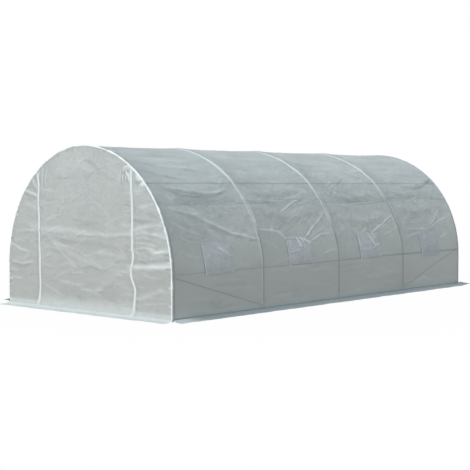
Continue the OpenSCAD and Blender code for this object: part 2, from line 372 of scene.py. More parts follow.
# woven cover, with light passing through it
coverLook = {
    "colour": (0.645, 0.628, 0.602, 1.0),
    "cloud": (0.497, 0.494, 0.484, 1.0),
    # colour of the dust low on the wall, and of the painted shade towards the bottom
    "dustAndLowShade": (0.512, 0.480, 0.446, 1.0),
    "shade": (0.200, 0.225, 0.235, 1.0),
    # painted highlight colour along the upper hoops
    "ribHighlight": (1.000, 0.985, 0.965, 1.0),
    # painted shade colour for the dark line at the wall's foot
    "foot": (0.185, 0.315, 0.362, 1.0),
    "splash": (0.600, 0.620, 0.590, 1.0),
    # painted highlight colour on the fold crests
    "paintedHighlight": (0.900, 0.905, 0.890, 1.0),
    "hem": (0.775, 0.778, 0.752, 1.0),
    "glow": (0.62, 0.66, 0.66, 1.0),
    "through": 0.2,
    "weavePitch": 0.0028,
    "weaveDepth": 0.0002,
    "facets": (0.06, 0.21, 1.05),  # on the wall, on the shoulder, and the part of that on the roof
    "facetHeights": ((0.6, 1.0), (1.45, 1.7)),  # from wall to shoulder, and from shoulder to roof
    "speck": 0.10,
    "roofSpeck": 0.55,
    "speckHeights": (0.85, 1.3),
    # painted shade, darker and warmer towards the bottom: its strength low down, and the heights over which
    # it fades out
    "lowShade": 0.38,
    "lowShadeHeights": (0.2, 1.7),
    "cloudShare": 0.3,
    "streakShare": 0.4,
    "dustShare": 0.2,
    "gapShade": 0.06,
    "tubeShade": 0.55,
    "splashBand": (0.02, 0.10, 0.7, 0.0),  # above the foot: from, to, strength below and above
    "footShadeBand": (0.008, 0.024, 0.72, 0.0),
    "hemTop": (0.75, 0.95, 0.22, 0.10),  # the hem's light reaches higher on the door than on the wings
    "hemShare": 0.75,
    "roughness": 0.38,
    "streakRoughness": 0.14,
    "specular": 0.35,
}


def passLight(tree, shader, colour, amount):  # mixes in light from the far side
    glow = addNode(tree, "ShaderNodeBsdfTranslucent")
    glow.inputs["Color"].default_value = colour
    both = addNode(tree, "ShaderNodeMixShader")
    both.inputs[0].default_value = amount
    tree.links.new(shader.outputs[0], both.inputs[1])
    tree.links.new(glow.outputs[0], both.inputs[2])
    tree.links.new(both.outputs[0], tree.nodes["Material Output"].inputs["Surface"])


def paintedLightShade(tree, colour, pale, dark):  # painted light and shade from the mesh: highlights along fold crests above 0, shade in tucked creases below 0
    stress = addNode(tree, "ShaderNodeAttribute", attribute_name="paintedLightShade").outputs["Fac"]
    colour = blendColour(tree, calc(tree, "MULTIPLY", stress, 1.0, clamp=True), colour, pale)
    return blendColour(tree, calc(tree, "MULTIPLY", stress, -1.0, clamp=True), colour, dark)


def coverMaterial(name, look, paintFrameShade=False, hemZ=0.0):
    mat, tree, shader = newMaterial(name)
    tapes = useGroup(tree, weave, Pitch=look["weavePitch"])
    film = useGroup(tree, mottle)
    fine = useGroup(tree, crumple)
    parts = addNode(tree, "ShaderNodeSeparateXYZ")
    tree.links.new(addNode(tree, "ShaderNodeTexCoord").outputs["Object"], parts.inputs[0])
    height = parts.outputs[2]

    def share(mask, amount):
        return calc(tree, "MULTIPLY", mask, amount)

    specks = share(fine["Tone"], 1.0 - look["streakShare"])
    patches = calc(tree, "MULTIPLY_ADD", film["Streak"], look["streakShare"], specks)
    amount = stretch(tree, height, *look["speckHeights"], look["speck"], look["roofSpeck"])
    tone = calc(tree, "MULTIPLY_ADD", film["Cloud"], look["cloudShare"], share(patches, amount))
    colour = blendColour(tree, tone, look["colour"], look["cloud"])
    # painted shade: darker and warmer towards the bottom
    lowShading = stretch(tree, height, *look["lowShadeHeights"], look["lowShade"], 0.0)
    colour = blendColour(tree, lowShading, colour, look["dustAndLowShade"])
    colour = blendColour(tree, share(film["Dust"], look["dustShare"]), colour, look["dustAndLowShade"])
    colour = blendColour(tree, share(tapes["Gap"], look["gapShade"]), colour, look["shade"])
    if hemZ:
        flat = addNode(tree, "ShaderNodeSeparateXYZ")
        tree.links.new(addNode(tree, "ShaderNodeUVMap").outputs[0], flat.inputs[0])
        hemTop = stretch(tree, calc(tree, "ABSOLUTE", flat.outputs[0]), *look["hemTop"])
        hem = stretch(tree, height, hemZ, hemTop, look["hemShare"], 0.0)
        colour = blendColour(tree, hem, colour, look["hem"])
    # painted highlights and painted shade along the folds
    colour = paintedLightShade(tree, colour, look["paintedHighlight"], look["shade"])
    if paintFrameShade:
        # painted shadows of the tubes behind the cover, and painted highlights along the hoops
        tubes = useGroup(tree, behind)
        colour = blendColour(tree, share(tubes["Shade"], look["tubeShade"]), colour, look["shade"])
        colour = blendColour(tree, tubes["HoopHighlight"], colour, look["ribHighlight"])
        # a band above the foot, then painted shade in a dark line where the wall turns out
        for band, paint in (("splashBand", "splash"), ("footShadeBand", "foot")):
            low, high, *strength = look[band]
            mask = stretch(tree, height, foldZ + low, foldZ + high, *strength)
            colour = blendColour(tree, mask, colour, look[paint])
    tree.links.new(colour, shader.inputs["Base Color"])
    rough = calc(tree, "MULTIPLY_ADD", film["Streak"], look["streakRoughness"], look["roughness"])
    tree.links.new(rough, shader.inputs["Roughness"])
    shader.inputs["Specular IOR Level"].default_value = look["specular"]
    wall, shoulder, roof = look["facets"]
    shoulderHeights, roofHeights = look["facetHeights"]
    folded = stretch(tree, height, *shoulderHeights, wall, shoulder)
    folded = calc(tree, "MULTIPLY", folded, stretch(tree, height, *roofHeights, 1.0, roof))
    relief = calc(tree, "MULTIPLY_ADD", tapes["Height"], look["weaveDepth"], share(fine["Height"], folded))
    tree.links.new(bumpFrom(tree, relief, 1.0, 1.0), shader.inputs["Normal"])
    passLight(tree, shader, look["glow"], look["through"])
    return mat


# white binding on the ends and seams
trimLook = {
    "colour": (0.95, 0.945, 0.93, 1.0),
    "grime": (0.72, 0.72, 0.705, 1.0),
    "weavePitch": 0.0016,
    "marks": (("Cloud", 0.25), ("Dust", 0.25)),  # how much of the grime each mask lays on
    "gapShade": 0.2,
    "roughness": 0.45,
    "streakRoughness": 0.2,
    "bump": (0.4, 0.0008),
}


def trimMaterial(name, look):
    mat, tree, shader = newMaterial(name)
    tapes = useGroup(tree, weave, Pitch=look["weavePitch"])
    film = useGroup(tree, mottle, Cloud=6.0, Streak=20.0)
    colour = look["colour"]
    for mask, amount in look["marks"]:
        colour = blendColour(tree, calc(tree, "MULTIPLY", film[mask], amount), colour, look["grime"])
    gaps = calc(tree, "MULTIPLY", tapes["Gap"], look["gapShade"])
    colour = blendColour(tree, gaps, colour, look["grime"])
    tree.links.new(colour, shader.inputs["Base Color"])
    rough = calc(tree, "MULTIPLY_ADD", film["Streak"], look["streakRoughness"], look["roughness"])
    tree.links.new(rough, shader.inputs["Roughness"])
    tree.links.new(bumpFrom(tree, tapes["Height"], *look["bump"]), shader.inputs["Normal"])
    return mat


# clear film of the window flaps
filmLook = {
    "colour": (0.648, 0.630, 0.634, 1.0),
    "cloud": (0.555, 0.548, 0.564, 1.0),
    # painted highlight colour on the film's creases
    "paintedHighlight": (0.93, 0.95, 0.97, 1.0),
    "glow": (0.60, 0.64, 0.70, 1.0),
    "through": 0.25,
    "cloudShare": 0.6,
    "facetSize": 26.0,
    "roughness": 0.24,
    "streakRoughness": 0.15,
    "bump": (1.0, 0.15),
}


def filmMaterial(name, look):
    mat, tree, shader = newMaterial(name)
    film = useGroup(tree, mottle, Cloud=7.0, Streak=16.0)
    fine = useGroup(tree, crumple, Size=look["facetSize"])
    clouds = calc(tree, "MULTIPLY", film["Cloud"], look["cloudShare"])
    colour = blendColour(tree, clouds, look["colour"], look["cloud"])
    colour = paintedLightShade(tree, colour, look["paintedHighlight"], look["cloud"])
    tree.links.new(colour, shader.inputs["Base Color"])
    rough = calc(tree, "MULTIPLY_ADD", film["Streak"], look["streakRoughness"], look["roughness"])
    tree.links.new(rough, shader.inputs["Roughness"])
    tree.links.new(bumpFrom(tree, fine["Height"], *look["bump"]), shader.inputs["Normal"])
    passLight(tree, shader, look["glow"], look["through"])
    return mat


# netting behind the flaps
netLook = {
    "colour": (0.78, 0.80, 0.81, 1.0),
    "meshPitch": 0.0022,
    "open": (0.0, 0.55, 1.0, 0.25),  # weave heights from, to, and how solid the net is at each
    "roughness": 0.6,
}


def netMaterial(name, look):
    mat, tree, shader = newMaterial(name)
    threads = useGroup(tree, weave, Pitch=look["meshPitch"])
    shader.inputs["Base Color"].default_value = look["colour"]
    shader.inputs["Roughness"].default_value = look["roughness"]
    tree.links.new(stretch(tree, threads["Height"], *look["open"]), shader.inputs["Alpha"])
    return mat


# galvanised tube
steelLook = {
    "colour": (0.46, 0.48, 0.49, 1.0),
    "spangle": (0.60, 0.62, 0.63, 1.0),
    "stain": (0.30, 0.29, 0.27, 1.0),
    "spangleScale": 140.0,
    "stainShare": 0.5,
    "roughness": 0.34,
    "spangleRoughness": 0.25,
    "metallic": 0.9,
    "bump": (0.15, 0.0006),
}


def steelMaterial(name, look):
    mat, tree, shader = newMaterial(name)
    film = useGroup(tree, mottle, Cloud=9.0, Streak=30.0)
    place = addNode(tree, "ShaderNodeTexCoord").outputs["Object"]
    cells = addNode(tree, "ShaderNodeTexVoronoi")
    tree.links.new(place, cells.inputs["Vector"])
    cells.inputs["Scale"].default_value = look["spangleScale"]
    colour = blendColour(tree, cells.outputs["Distance"], look["colour"], look["spangle"])
    stains = calc(tree, "MULTIPLY", film["Dust"], look["stainShare"])
    colour = blendColour(tree, stains, colour, look["stain"])
    tree.links.new(colour, shader.inputs["Base Color"])
    rough = calc(tree, "MULTIPLY_ADD", cells.outputs["Distance"], look["spangleRoughness"], look["roughness"])
    tree.links.new(rough, shader.inputs["Roughness"])
    shader.inputs["Metallic"].default_value = look["metallic"]
    tree.links.new(bumpFrom(tree, film["Streak"], *look["bump"]), shader.inputs["Normal"])
    return mat


endLook = dict(
    coverLook,
    colour=(0.680, 0.660, 0.632, 1.0),
    # dust with painted shade towards the bottom, and painted highlights on the fold crests
    dustAndLowShade=(0.528, 0.512, 0.484, 1.0),
    paintedHighlight=(0.975, 0.980, 0.965, 1.0),
    speck=0.14,
    roofSpeck=0.16,
    lowShade=0.75,
    facets=(0.15, 0.17, 1.0),
)
# a shaded copy of the cover cloth: painted shade in a darker colour for the side skirts
sideSkirtShadedLook = dict(
    coverLook,
    colour=(0.34, 0.380, 0.392, 1.0),
    cloud=(0.30, 0.335, 0.350, 1.0),
    dustAndLowShade=(0.31, 0.335, 0.345, 1.0),
    shade=(0.075, 0.095, 0.110, 1.0),
)
# a lit copy of the cover cloth: painted light in a paler colour for the end skirts
endSkirtLitLook = dict(
    coverLook,
    colour=(0.855, 0.855, 0.825, 1.0),
    cloud=(0.80, 0.805, 0.775, 1.0),
    dustAndLowShade=(0.79, 0.78, 0.75, 1.0),
)
zipLook = dict(trimLook, colour=(0.83, 0.82, 0.80, 1.0), grime=(0.70, 0.695, 0.68, 1.0))
flapTapeLook = dict(trimLook, colour=(0.74, 0.765, 0.785, 1.0), grime=(0.64, 0.665, 0.69, 1.0))

coverCloth = coverMaterial("wovenCover", coverLook, paintFrameShade=True)
endCloth = coverMaterial("wovenEnd", endLook, hemZ=0.05)
whiteTrim = trimMaterial("whiteBinding", trimLook)
zipTape = trimMaterial("zipTape", zipLook)
softTape = trimMaterial("flapTape", flapTapeLook)
sideSkirtShadedCloth = coverMaterial("sideSkirtShadedCloth", sideSkirtShadedLook)
endSkirtLitCloth = coverMaterial("endSkirtLitCloth", endSkirtLitLook)
clearFilm = filmMaterial("flapFilm", filmLook)
fineNet = netMaterial("windowNet", netLook)
zincTube = steelMaterial("galvanisedTube", steelLook)
print("materials made")


# cloth meshes are grids of points, one row for each value across and one column along
def makeMesh(name, points, quads, uv, mat, slot, white=None):
    mesh = bpy.data.meshes.new(name)
    mesh.from_pydata(points.tolist(), [], quads.tolist())
    # signed painted light and shade for the material: highlight above 0, shade below
    if white is not None:
        stress = mesh.attributes.new("paintedLightShade", "FLOAT", "POINT")
        stress.data.foreach_set("value", np.clip(white, -1.0, 1.0).astype(np.float32))
    layer = mesh.uv_layers.new(name="metres")
    corner = np.empty(len(mesh.loops), dtype=np.int32)
    mesh.loops.foreach_get("vertex_index", corner)
    layer.data.foreach_set("uv", uv[corner].astype(np.float32).ravel())
    mesh.shade_smooth()
    mesh.materials.append(mat)
    piece = bpy.data.objects.new(name, mesh)
    bpy.context.scene.collection.objects.link(piece)
    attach(piece, bodyName)
    return piece


def gridQuads(rows, columns, flip=False):
    index = np.arange(rows * columns).reshape(rows, columns)
    quads = np.stack([index[:-1, :-1], index[:-1, 1:], index[1:, 1:], index[1:, :-1]], axis=-1).reshape(-1, 4)
    return quads[:, ::-1] if flip else quads


def gridSheet(name, grid, uv, white, mat, slot, flip=False, keep=None):
    rows, columns = grid.shape[:2]
    quads = gridQuads(rows, columns, flip)
    if keep is not None:
        quads = quads[keep.reshape(-1)]
    used, renamed = np.unique(quads, return_inverse=True)  # points of an opening go too
    points, flatUv, pale = grid.reshape(-1, 3)[used], uv.reshape(-1, 2)[used], white.reshape(-1)[used]
    return makeMesh(name, points, renamed.reshape(-1, 4), flatUv, mat, slot, pale)


def joinedGrids(name, parts, mat, slot):
    points, uvs, whites, quads, start = [], [], [], [], 0
    for grid, uv, white, flip in parts:
        rows, columns = grid.shape[:2]
        points.append(grid.reshape(-1, 3))
        uvs.append(uv.reshape(-1, 2))
        whites.append(np.broadcast_to(white, (rows, columns)).reshape(-1))
        quads.append(gridQuads(rows, columns, flip) + start)
        start += rows * columns
    joined = [np.concatenate(part) for part in (points, quads, uvs)]
    return makeMesh(name, *joined, mat, slot, np.concatenate(whites))


def steps(start, stop, size):
    return np.linspace(start, stop, max(2, int(round(abs(stop - start) / size)) + 1))


def smooth(value):
    value = np.clip(value, 0.0, 1.0)
    return value * value * (3.0 - 2.0 * value)


def ramp(value, low, high, before, after):  # as stretch does in a shader
    return before + (after - before) * smooth((value - low) / (high - low))


# cross-section of the cover, measured along the cloth from the crown
quarterArc = coverR * math.pi / 2


def crossSection(s):
    angle = np.minimum(np.abs(s), quarterArc) / coverR
    below = np.maximum(np.abs(s) - quarterArc, 0.0)
    side = np.where(s < 0, -1.0, 1.0)
    x, z = side * coverR * np.sin(angle), legH + coverR * np.cos(angle) - below
    return x, z, side * np.sin(angle), np.cos(angle)


def clothAtHeight(z):  # distance from the crown along the cloth
    if z < legH:
        return quarterArc + legH - z
    return coverR * math.acos(min(1.0, (z - legH) / coverR))


def onCloth(folds):  # heights turned into distances from the crown
    return [([(y, clothAtHeight(z)) for y, z in line], *shape) for line, *shape in folds]


# a fold is a ridge along a line of places, with a valley under it: rise, half width, lean, and painted light
# and shade along it (highlight above 0, shade below);
# a lean below 1 steepens the lower side
foldForm = {
    "fade": 0.2,  # part of the length at each end
    "valley": 0.25,  # its depth, as a part of the rise
    "valleyAt": 2.2,  # in half widths
    "valleyW": 1.2,
    "toneFall": 1.2,
}


def foldField(u, v, folds):
    height, white = np.zeros_like(u), np.zeros_like(u)
    for points, rise, width, lean, pale in folds:
        line = np.array(points)
        low, high = line.min(axis=0) - 4 * width, line.max(axis=0) + 4 * width
        near = (u > low[0]) & (u < high[0]) & (v > low[1]) & (v < high[1])
        if not near.any():
            continue
        nearU, nearV = u[near], v[near]
        best, below, run, total = np.full(nearU.shape, 1e9), np.zeros_like(nearU), np.zeros_like(nearU), 0.0
        for (u0, v0), (u1, v1) in zip(line[:-1], line[1:]):
            du, dv = u1 - u0, v1 - v0
            length = math.hypot(du, dv)
            t = np.clip(((nearU - u0) * du + (nearV - v0) * dv) / length**2, 0.0, 1.0)
            offU, offV = nearU - u0 - t * du, nearV - v0 - t * dv
            far = np.hypot(offU, offV)
            closer = far < best
            best = np.where(closer, far, best)
            below = np.where(closer, offV * du - offU * dv, below)
            run = np.where(closer, total + t * length, run)
            total += length
        c = np.where(below > 0, best / (width * lean), -best / width)
        ends = foldForm["fade"] * total
        fade = smooth(run / ends) * smooth((total - run) / ends)
        valley = foldForm["valley"] * np.exp(-(((c - foldForm["valleyAt"]) / foldForm["valleyW"]) ** 2))
        height[near] += rise * (np.exp(-(c * c)) - valley) * fade
        white[near] += pale * np.exp(-foldForm["toneFall"] * c * c) * fade
    return height, white


# small folds strewn at random between two corners
def looseFolds(count, seed, low, high, length, width, rise, turn, pale):
    pick = np.random.default_rng(seed)
    made = []
    for _ in range(count):
        u, v = pick.uniform(low[0], high[0]), pick.uniform(low[1], high[1])
        angle, reach, bend = pick.uniform(-turn, turn), pick.uniform(*length), pick.uniform(-0.12, 0.12)
        du, dv = reach * math.cos(angle), reach * math.sin(angle)
        up = pick.uniform(*rise) * pick.choice((-1.0, 1.0, 1.0))
        line = [(u, v), (u + du / 2 - dv * bend, v + dv / 2 + du * bend), (u + du, v + dv)]
        half, lean = pick.uniform(*width), pick.uniform(0.5, 1.2)
        made.append((line, up, half, lean, math.copysign(pale * pick.uniform(0, 1), up)))
    return made


def warped(u, v, seed, amount):  # bends every fold a little
    shiftU = ripple(u, v, seed, 8, (0.10, 0.5), amount)
    shiftV = ripple(u, v, seed + 1, 8, (0.10, 0.5), amount)
    return u + shiftU, v + shiftV


def ripple(u, v, seed, waves, size, height):  # a sum of waves in random directions
    pick = np.random.default_rng(seed)
    total = np.zeros_like(u)
    for _ in range(waves):
        length, turn, phase = pick.uniform(*size), pick.uniform(0, math.pi), pick.uniform(0, 2 * math.pi)
        total += np.sin((u * math.cos(turn) + v * math.sin(turn)) * 2 * math.pi / length + phase)
    return total * height / math.sqrt(waves)


# cover over the hoops; folds run from (along, height) to (along, height) on the right-hand side
coverShape = {
    "gridRoof": 0.016,
    "gridSide": 0.010,
    "sag": 0.0145,  # between hoops, down to the purlins
    "roofHollow": 0.050,  # further in between the ridge and the shoulder
    "wallHollow": 0.030,  # further in between the shoulder and the side rail
    "slackPower": 0.6,  # how quickly the cloth falls away from a hoop
    "taut": 0.3,  # how much of a fold's relief is left on the hoop itself
    "warp": 0.004,
    "ripple": 0.0012,
    "hoopShade": 0.20,  # on the roof, just behind each hoop
    "hoopShadeL": 0.16,  # in bays
    "seamLap": 0.02,
    "roofRise": 0.0012,  # of the roof sheet over the side sheets
    "seamDip": (-0.016, -0.027, 0.036, -0.040),  # how far the seam hangs down in each bay, or up below 0
    "folds": [
        # broad tones, without relief
        ([(-3.20, 1.00), (-2.20, 0.90)], 0.000, 0.260, 1.0, -0.11),
        ([(-3.20, 1.45), (-2.00, 1.36)], 0.000, 0.130, 1.0, -0.10),
        ([(-1.70, 0.85), (-0.80, 0.80)], 0.000, 0.220, 1.0, -0.12),
        ([(-0.20, 0.40), (3.60, 0.38)], 0.000, 0.220, 1.0, 0.16),
        ([(-0.10, 0.85), (0.70, 0.85)], 0.000, 0.220, 1.0, 0.12),
        ([(1.60, 0.85), (2.70, 0.85)], 0.000, 0.220, 1.0, -0.07),
        ([(-4.40, 0.09), (4.40, 0.09)], 0.000, 0.075, 1.0, 0.16),
        # first bay
        ([(-2.78, 1.49), (-2.50, 1.45), (-2.18, 1.42), (-1.91, 1.42), (-1.72, 1.46)],
         0.011, 0.026, 0.5, 0.48),
        ([(-2.70, 1.50), (-2.24, 1.47), (-1.72, 1.50)], 0.008, 0.075, 0.6, 0.26),
        ([(-1.90, 1.45), (-1.79, 1.52), (-1.66, 1.61)], 0.004, 0.022, 0.8, 0.42),
        ([(-2.88, 1.51), (-2.73, 1.45), (-2.53, 1.40), (-2.29, 1.38), (-1.95, 1.39), (-1.61, 1.47)],
         0.000, 0.013, 1.0, -0.42),
        ([(-2.74, 1.38), (-2.48, 1.36), (-1.87, 1.36), (-1.52, 1.36)], 0.000, 0.045, 1.0, -0.20),
        ([(-3.01, 1.27), (-2.71, 1.23), (-2.43, 1.16), (-2.19, 1.05), (-1.92, 0.94), (-1.31, 0.80)],
         0.010, 0.040, 0.5, 0.26),
        ([(-2.37, 1.13), (-2.06, 1.00), (-1.92, 0.94), (-1.77, 0.91), (-1.41, 0.82)],
         0.005, 0.015, 0.6, 0.44),
        ([(-2.72, 1.17), (-2.37, 1.05), (-2.08, 0.95), (-1.89, 0.89)], -0.003, 0.030, 1.0, -0.12),
        ([(-2.93, 1.11), (-2.75, 1.04), (-2.64, 1.00), (-2.40, 0.93)], 0.003, 0.012, 0.7, 0.52),
        ([(-2.88, 0.97), (-2.71, 0.88), (-2.58, 0.85)], 0.003, 0.014, 0.8, 0.25),
        ([(-2.55, 0.93), (-2.45, 0.88)], 0.002, 0.011, 0.8, 0.35),
        ([(-1.76, 0.87), (-1.42, 0.85)], 0.003, 0.011, 0.8, 0.50),
        ([(-2.75, 1.45), (-2.77, 1.36), (-2.80, 1.26)], 0.000, 0.050, 1.0, 0.20),
        ([(-1.64, 0.93), (-1.51, 0.94)], 0.002, 0.011, 0.8, 0.30),
        ([(-1.88, 1.29), (-1.64, 1.29)], 0.002, 0.012, 0.8, 0.28),
        ([(-1.94, 1.25), (-1.69, 1.25)], 0.002, 0.012, 0.8, 0.22),
        ([(-2.97, 1.72), (-2.70, 1.63), (-2.36, 1.58)], 0.008, 0.040, 0.5, -0.22),
        ([(-2.86, 1.82), (-2.40, 1.74), (-1.95, 1.72)], 0.006, 0.050, 0.6, -0.10),
        ([(-2.60, 1.88), (-2.20, 1.84), (-1.80, 1.86)], 0.004, 0.050, 0.8, 0.16),
        # second bay
        ([(-1.46, 1.31), (-1.08, 1.32), (-0.68, 1.31)], 0.003, 0.016, 0.8, 0.28),
        ([(-0.77, 1.33), (-0.55, 1.36), (-0.21, 1.44)], 0.004, 0.012, 0.8, 0.58),
        ([(-0.96, 1.16), (-0.75, 1.25), (-0.60, 1.30), (-0.45, 1.33)], 0.005, 0.013, 0.7, 0.95),
        ([(-0.76, 1.23), (-0.52, 1.30), (-0.29, 1.38)], 0.000, 0.012, 1.0, -0.34),
        ([(-0.70, 1.26), (-0.49, 1.28), (-0.10, 1.34)], 0.003, 0.020, 0.8, 0.28),
        ([(-1.46, 1.12), (-0.82, 1.12)], 0.000, 0.120, 1.0, -0.10),
        ([(-1.57, 0.98), (-1.20, 0.95), (-1.07, 0.93), (-0.93, 0.88)], 0.005, 0.015, 0.7, 0.95),
        ([(-1.10, 0.92), (-0.96, 0.85)], 0.004, 0.013, 0.8, 0.70),
        ([(-0.01, 1.20), (-0.16, 1.11), (-0.39, 0.97), (-0.60, 0.84)], 0.004, 0.012, 0.8, 0.42),
        ([(-0.02, 1.17), (-0.14, 1.08), (-0.39, 0.93)], 0.000, 0.012, 1.0, -0.34),
        ([(-0.11, 1.00), (-0.31, 0.91)], 0.003, 0.011, 0.8, 0.42),
        ([(-0.05, 0.88), (-0.29, 0.87), (-0.56, 0.79)], 0.005, 0.014, 0.7, 0.78),
        ([(-0.60, 0.84), (-0.48, 0.92), (-0.36, 0.99)], 0.005, 0.013, 0.8, 0.85),
        ([(-0.66, 1.00), (-0.52, 1.09)], 0.003, 0.010, 0.8, 0.34),
        ([(-0.55, 1.04), (-0.34, 1.16)], 0.003, 0.010, 0.8, 0.30),
        ([(-0.48, 1.01), (-0.30, 1.12)], 0.003, 0.010, 0.8, 0.34),
        ([(-0.71, 1.15), (-0.54, 1.23)], 0.003, 0.010, 0.8, 0.32),
        ([(-0.59, 1.17), (-0.43, 1.25)], 0.003, 0.010, 0.8, 0.28),
        ([(-0.84, 1.05), (-0.67, 1.13)], 0.003, 0.010, 0.8, 0.24),
        ([(-0.67, 1.10), (-0.50, 1.20)], 0.000, 0.011, 1.0, -0.22),
        ([(-0.48, 1.09), (-0.31, 1.19)], 0.000, 0.011, 1.0, -0.22),
        ([(-0.29, 0.62), (-0.13, 0.66), (0.01, 0.66)], 0.004, 0.013, 0.8, 0.60),
        ([(-1.35, 1.20), (-0.75, 1.11), (-0.10, 1.22)], 0.009, 0.075, 0.7, 0.06),
        ([(-1.40, 1.42), (-0.90, 1.40), (-0.30, 1.45)], 0.007, 0.050, 0.6, 0.00),
        ([(-1.05, 0.84), (-0.89, 0.85), (-0.77, 0.85), (-0.68, 0.82)], 0.003, 0.012, 0.8, 0.80),
        ([(-0.75, 0.84), (-0.60, 0.79), (-0.44, 0.76)], 0.003, 0.012, 0.8, 0.70),
        # third bay
        ([(0.85, 1.63), (0.40, 1.46), (0.12, 1.32)], 0.000, 0.014, 1.0, -0.48),
        ([(0.22, 1.48), (0.45, 1.56)], 0.004, 0.012, 0.8, 0.90),
        ([(0.27, 1.45), (0.47, 1.52)], 0.004, 0.012, 0.8, 0.85),
        ([(0.29, 1.40), (0.51, 1.50)], 0.004, 0.012, 0.8, 0.85),
        ([(0.29, 1.38), (0.41, 1.42)], 0.003, 0.012, 0.8, 0.80),
        ([(0.36, 1.33), (0.66, 1.29), (0.89, 1.29), (1.57, 1.34)], 0.000, 0.028, 1.0, -0.32),
        ([(-0.00, 1.24), (0.46, 1.24), (0.97, 1.27), (1.45, 1.31)], 0.003, 0.016, 0.7, 0.24),
        ([(1.47, 1.10), (1.24, 1.01), (0.98, 0.91), (0.82, 0.85)], 0.006, 0.014, 0.6, 0.85),
        ([(0.79, 0.94), (0.64, 0.86)], 0.003, 0.011, 0.8, 0.50),
        ([(1.09, 0.81), (1.36, 0.87)], 0.003, 0.012, 0.8, 0.48),
        ([(1.40, 0.88), (1.46, 0.95)], 0.002, 0.011, 0.8, 0.42),
        ([(0.03, 1.28), (0.23, 1.35)], 0.003, 0.011, 0.8, 0.34),
        ([(1.21, 1.02), (1.44, 1.11)], 0.000, 0.035, 1.0, 0.20),
        ([(0.08, 1.40), (0.60, 1.33), (1.25, 1.39)], 0.010, 0.055, 0.6, 0.00),
        ([(0.15, 1.08), (0.80, 1.02), (1.38, 1.12)], 0.010, 0.075, 0.7, 0.06),
        # fourth bay
        ([(1.63, 0.74), (1.84, 0.79), (2.06, 0.84)], 0.001, 0.014, 0.8, 0.12),
        ([(1.91, 1.67), (2.43, 1.68)], 0.000, 0.013, 1.0, -0.24),
        ([(1.96, 1.49), (2.36, 1.50), (2.80, 1.54)], 0.006, 0.040, 0.6, 0.28),
        ([(2.17, 1.43), (2.53, 1.47), (3.08, 1.61)], 0.000, 0.016, 1.0, -0.55),
        ([(2.74, 1.53), (3.03, 1.60)], 0.000, 0.016, 1.0, -0.85),
        ([(1.53, 1.33), (1.89, 1.37), (2.45, 1.42)], 0.000, 0.013, 1.0, -0.30),
        ([(1.88, 1.25), (2.16, 1.31), (2.40, 1.36)], 0.003, 0.012, 0.8, 0.34),
        ([(2.32, 0.86), (2.54, 0.95), (2.93, 1.05)], 0.005, 0.013, 0.7, 0.74),
        ([(2.29, 0.90), (2.51, 0.99), (2.78, 1.19)], 0.004, 0.013, 0.8, 0.46),
        ([(1.67, 0.88), (1.96, 0.87), (2.20, 0.89)], 0.003, 0.012, 0.8, 0.48),
        ([(1.67, 0.77), (2.02, 0.81)], 0.003, 0.012, 0.8, 0.42),
        ([(2.04, 0.87), (2.07, 0.78)], 0.002, 0.011, 0.8, 0.45),
        ([(2.80, 0.80), (2.51, 0.71)], 0.003, 0.012, 0.8, 0.42),
        ([(2.05, 0.88), (2.41, 0.87)], 0.003, 0.011, 0.8, 0.55),
        ([(2.86, 0.83), (2.96, 0.93)], 0.002, 0.011, 0.8, 0.38),
        ([(1.54, 1.24), (2.00, 1.14), (2.65, 1.21)], 0.011, 0.075, 0.7, 0.06),
        ([(1.58, 1.42), (2.05, 1.37), (2.55, 1.40)], 0.008, 0.050, 0.6, 0.00),
    ],
    # count, seed, two corners as (along, distance from the crown), lengths, half widths, rises, turn and
    # the painted light and shade along them
    "loose": [
        (150, 11, (-3.0, 0.02), (2.8, 1.12), (0.12, 0.5), (0.016, 0.034), (0.0008, 0.0030), 0.40, 0.22),
        (45, 17, (-3.0, 0.05), (2.3, 1.30), (0.4, 1.2), (0.040, 0.090), (0.0010, 0.0040), 0.15, 0.26),
        (190, 12, (-3.0, 1.12), (2.9, 2.05), (0.08, 0.40), (0.014, 0.034), (0.0008, 0.0030), 0.9, 0.22),
        (70, 13, (-3.0, 2.25), (2.6, 2.78), (0.25, 0.9), (0.012, 0.030), (0.0004, 0.0012), 0.10, 0.20),
    ],
}
bayFolds = onCloth(coverShape["folds"])
for row in coverShape["loose"]:
    bayFolds += looseFolds(*row)


def coverShift(s, y):  # how far the cloth stands out of the nominal surface, and its painted light and shade
    shape = coverShape
    side = np.where(s < 0, -1.0, 1.0)
    alongSide, downSide = y * side, np.abs(s)  # the far side is the near one turned half round
    inBay = np.clip(np.mod(y - firstHoopY, bayL) / bayL, 0.0, 1.0)
    slack = np.where(np.abs(y) > -firstHoopY, 0.0, (4 * inBay * (1 - inBay)) ** shape["slackPower"])
    span = downSide / quarterArc * 2  # purlins at 0, 1 and 2
    bow = np.sqrt(np.sin(np.minimum(span, 2.0) * math.pi) ** 2 + 0.003) - math.sqrt(0.003)
    hollow = np.where(span < 1, shape["roofHollow"], shape["wallHollow"]) * bow
    depth = -slack * (shape["sag"] * smooth((2.5 - span) / 1.0) + hollow)
    loose = shape["taut"] + (1 - shape["taut"]) * slack
    height, white = foldField(*warped(alongSide, downSide, 61, shape["warp"]), bayFolds)
    small = ripple(alongSide, downSide, 5, 18, (0.12, 0.6), shape["ripple"]) * smooth((2.2 - span) / 0.4)
    lean = ramp(crossSection(s)[1], *tubeLines["lean"]) * ramp(np.abs(y), *tubeLines["leanEnds"])
    behindHoop = np.mod(y + lean - firstHoopY, bayL) / bayL
    shaded = np.exp(-((behindHoop / shape["hoopShadeL"]) ** 2)) * smooth((1.15 - span) / 0.4)
    shaded = shaded * (downSide > 0)  # none on the ridge line itself
    return depth + (height + small) * loose - clothBack, white * loose - shape["hoopShade"] * shaded


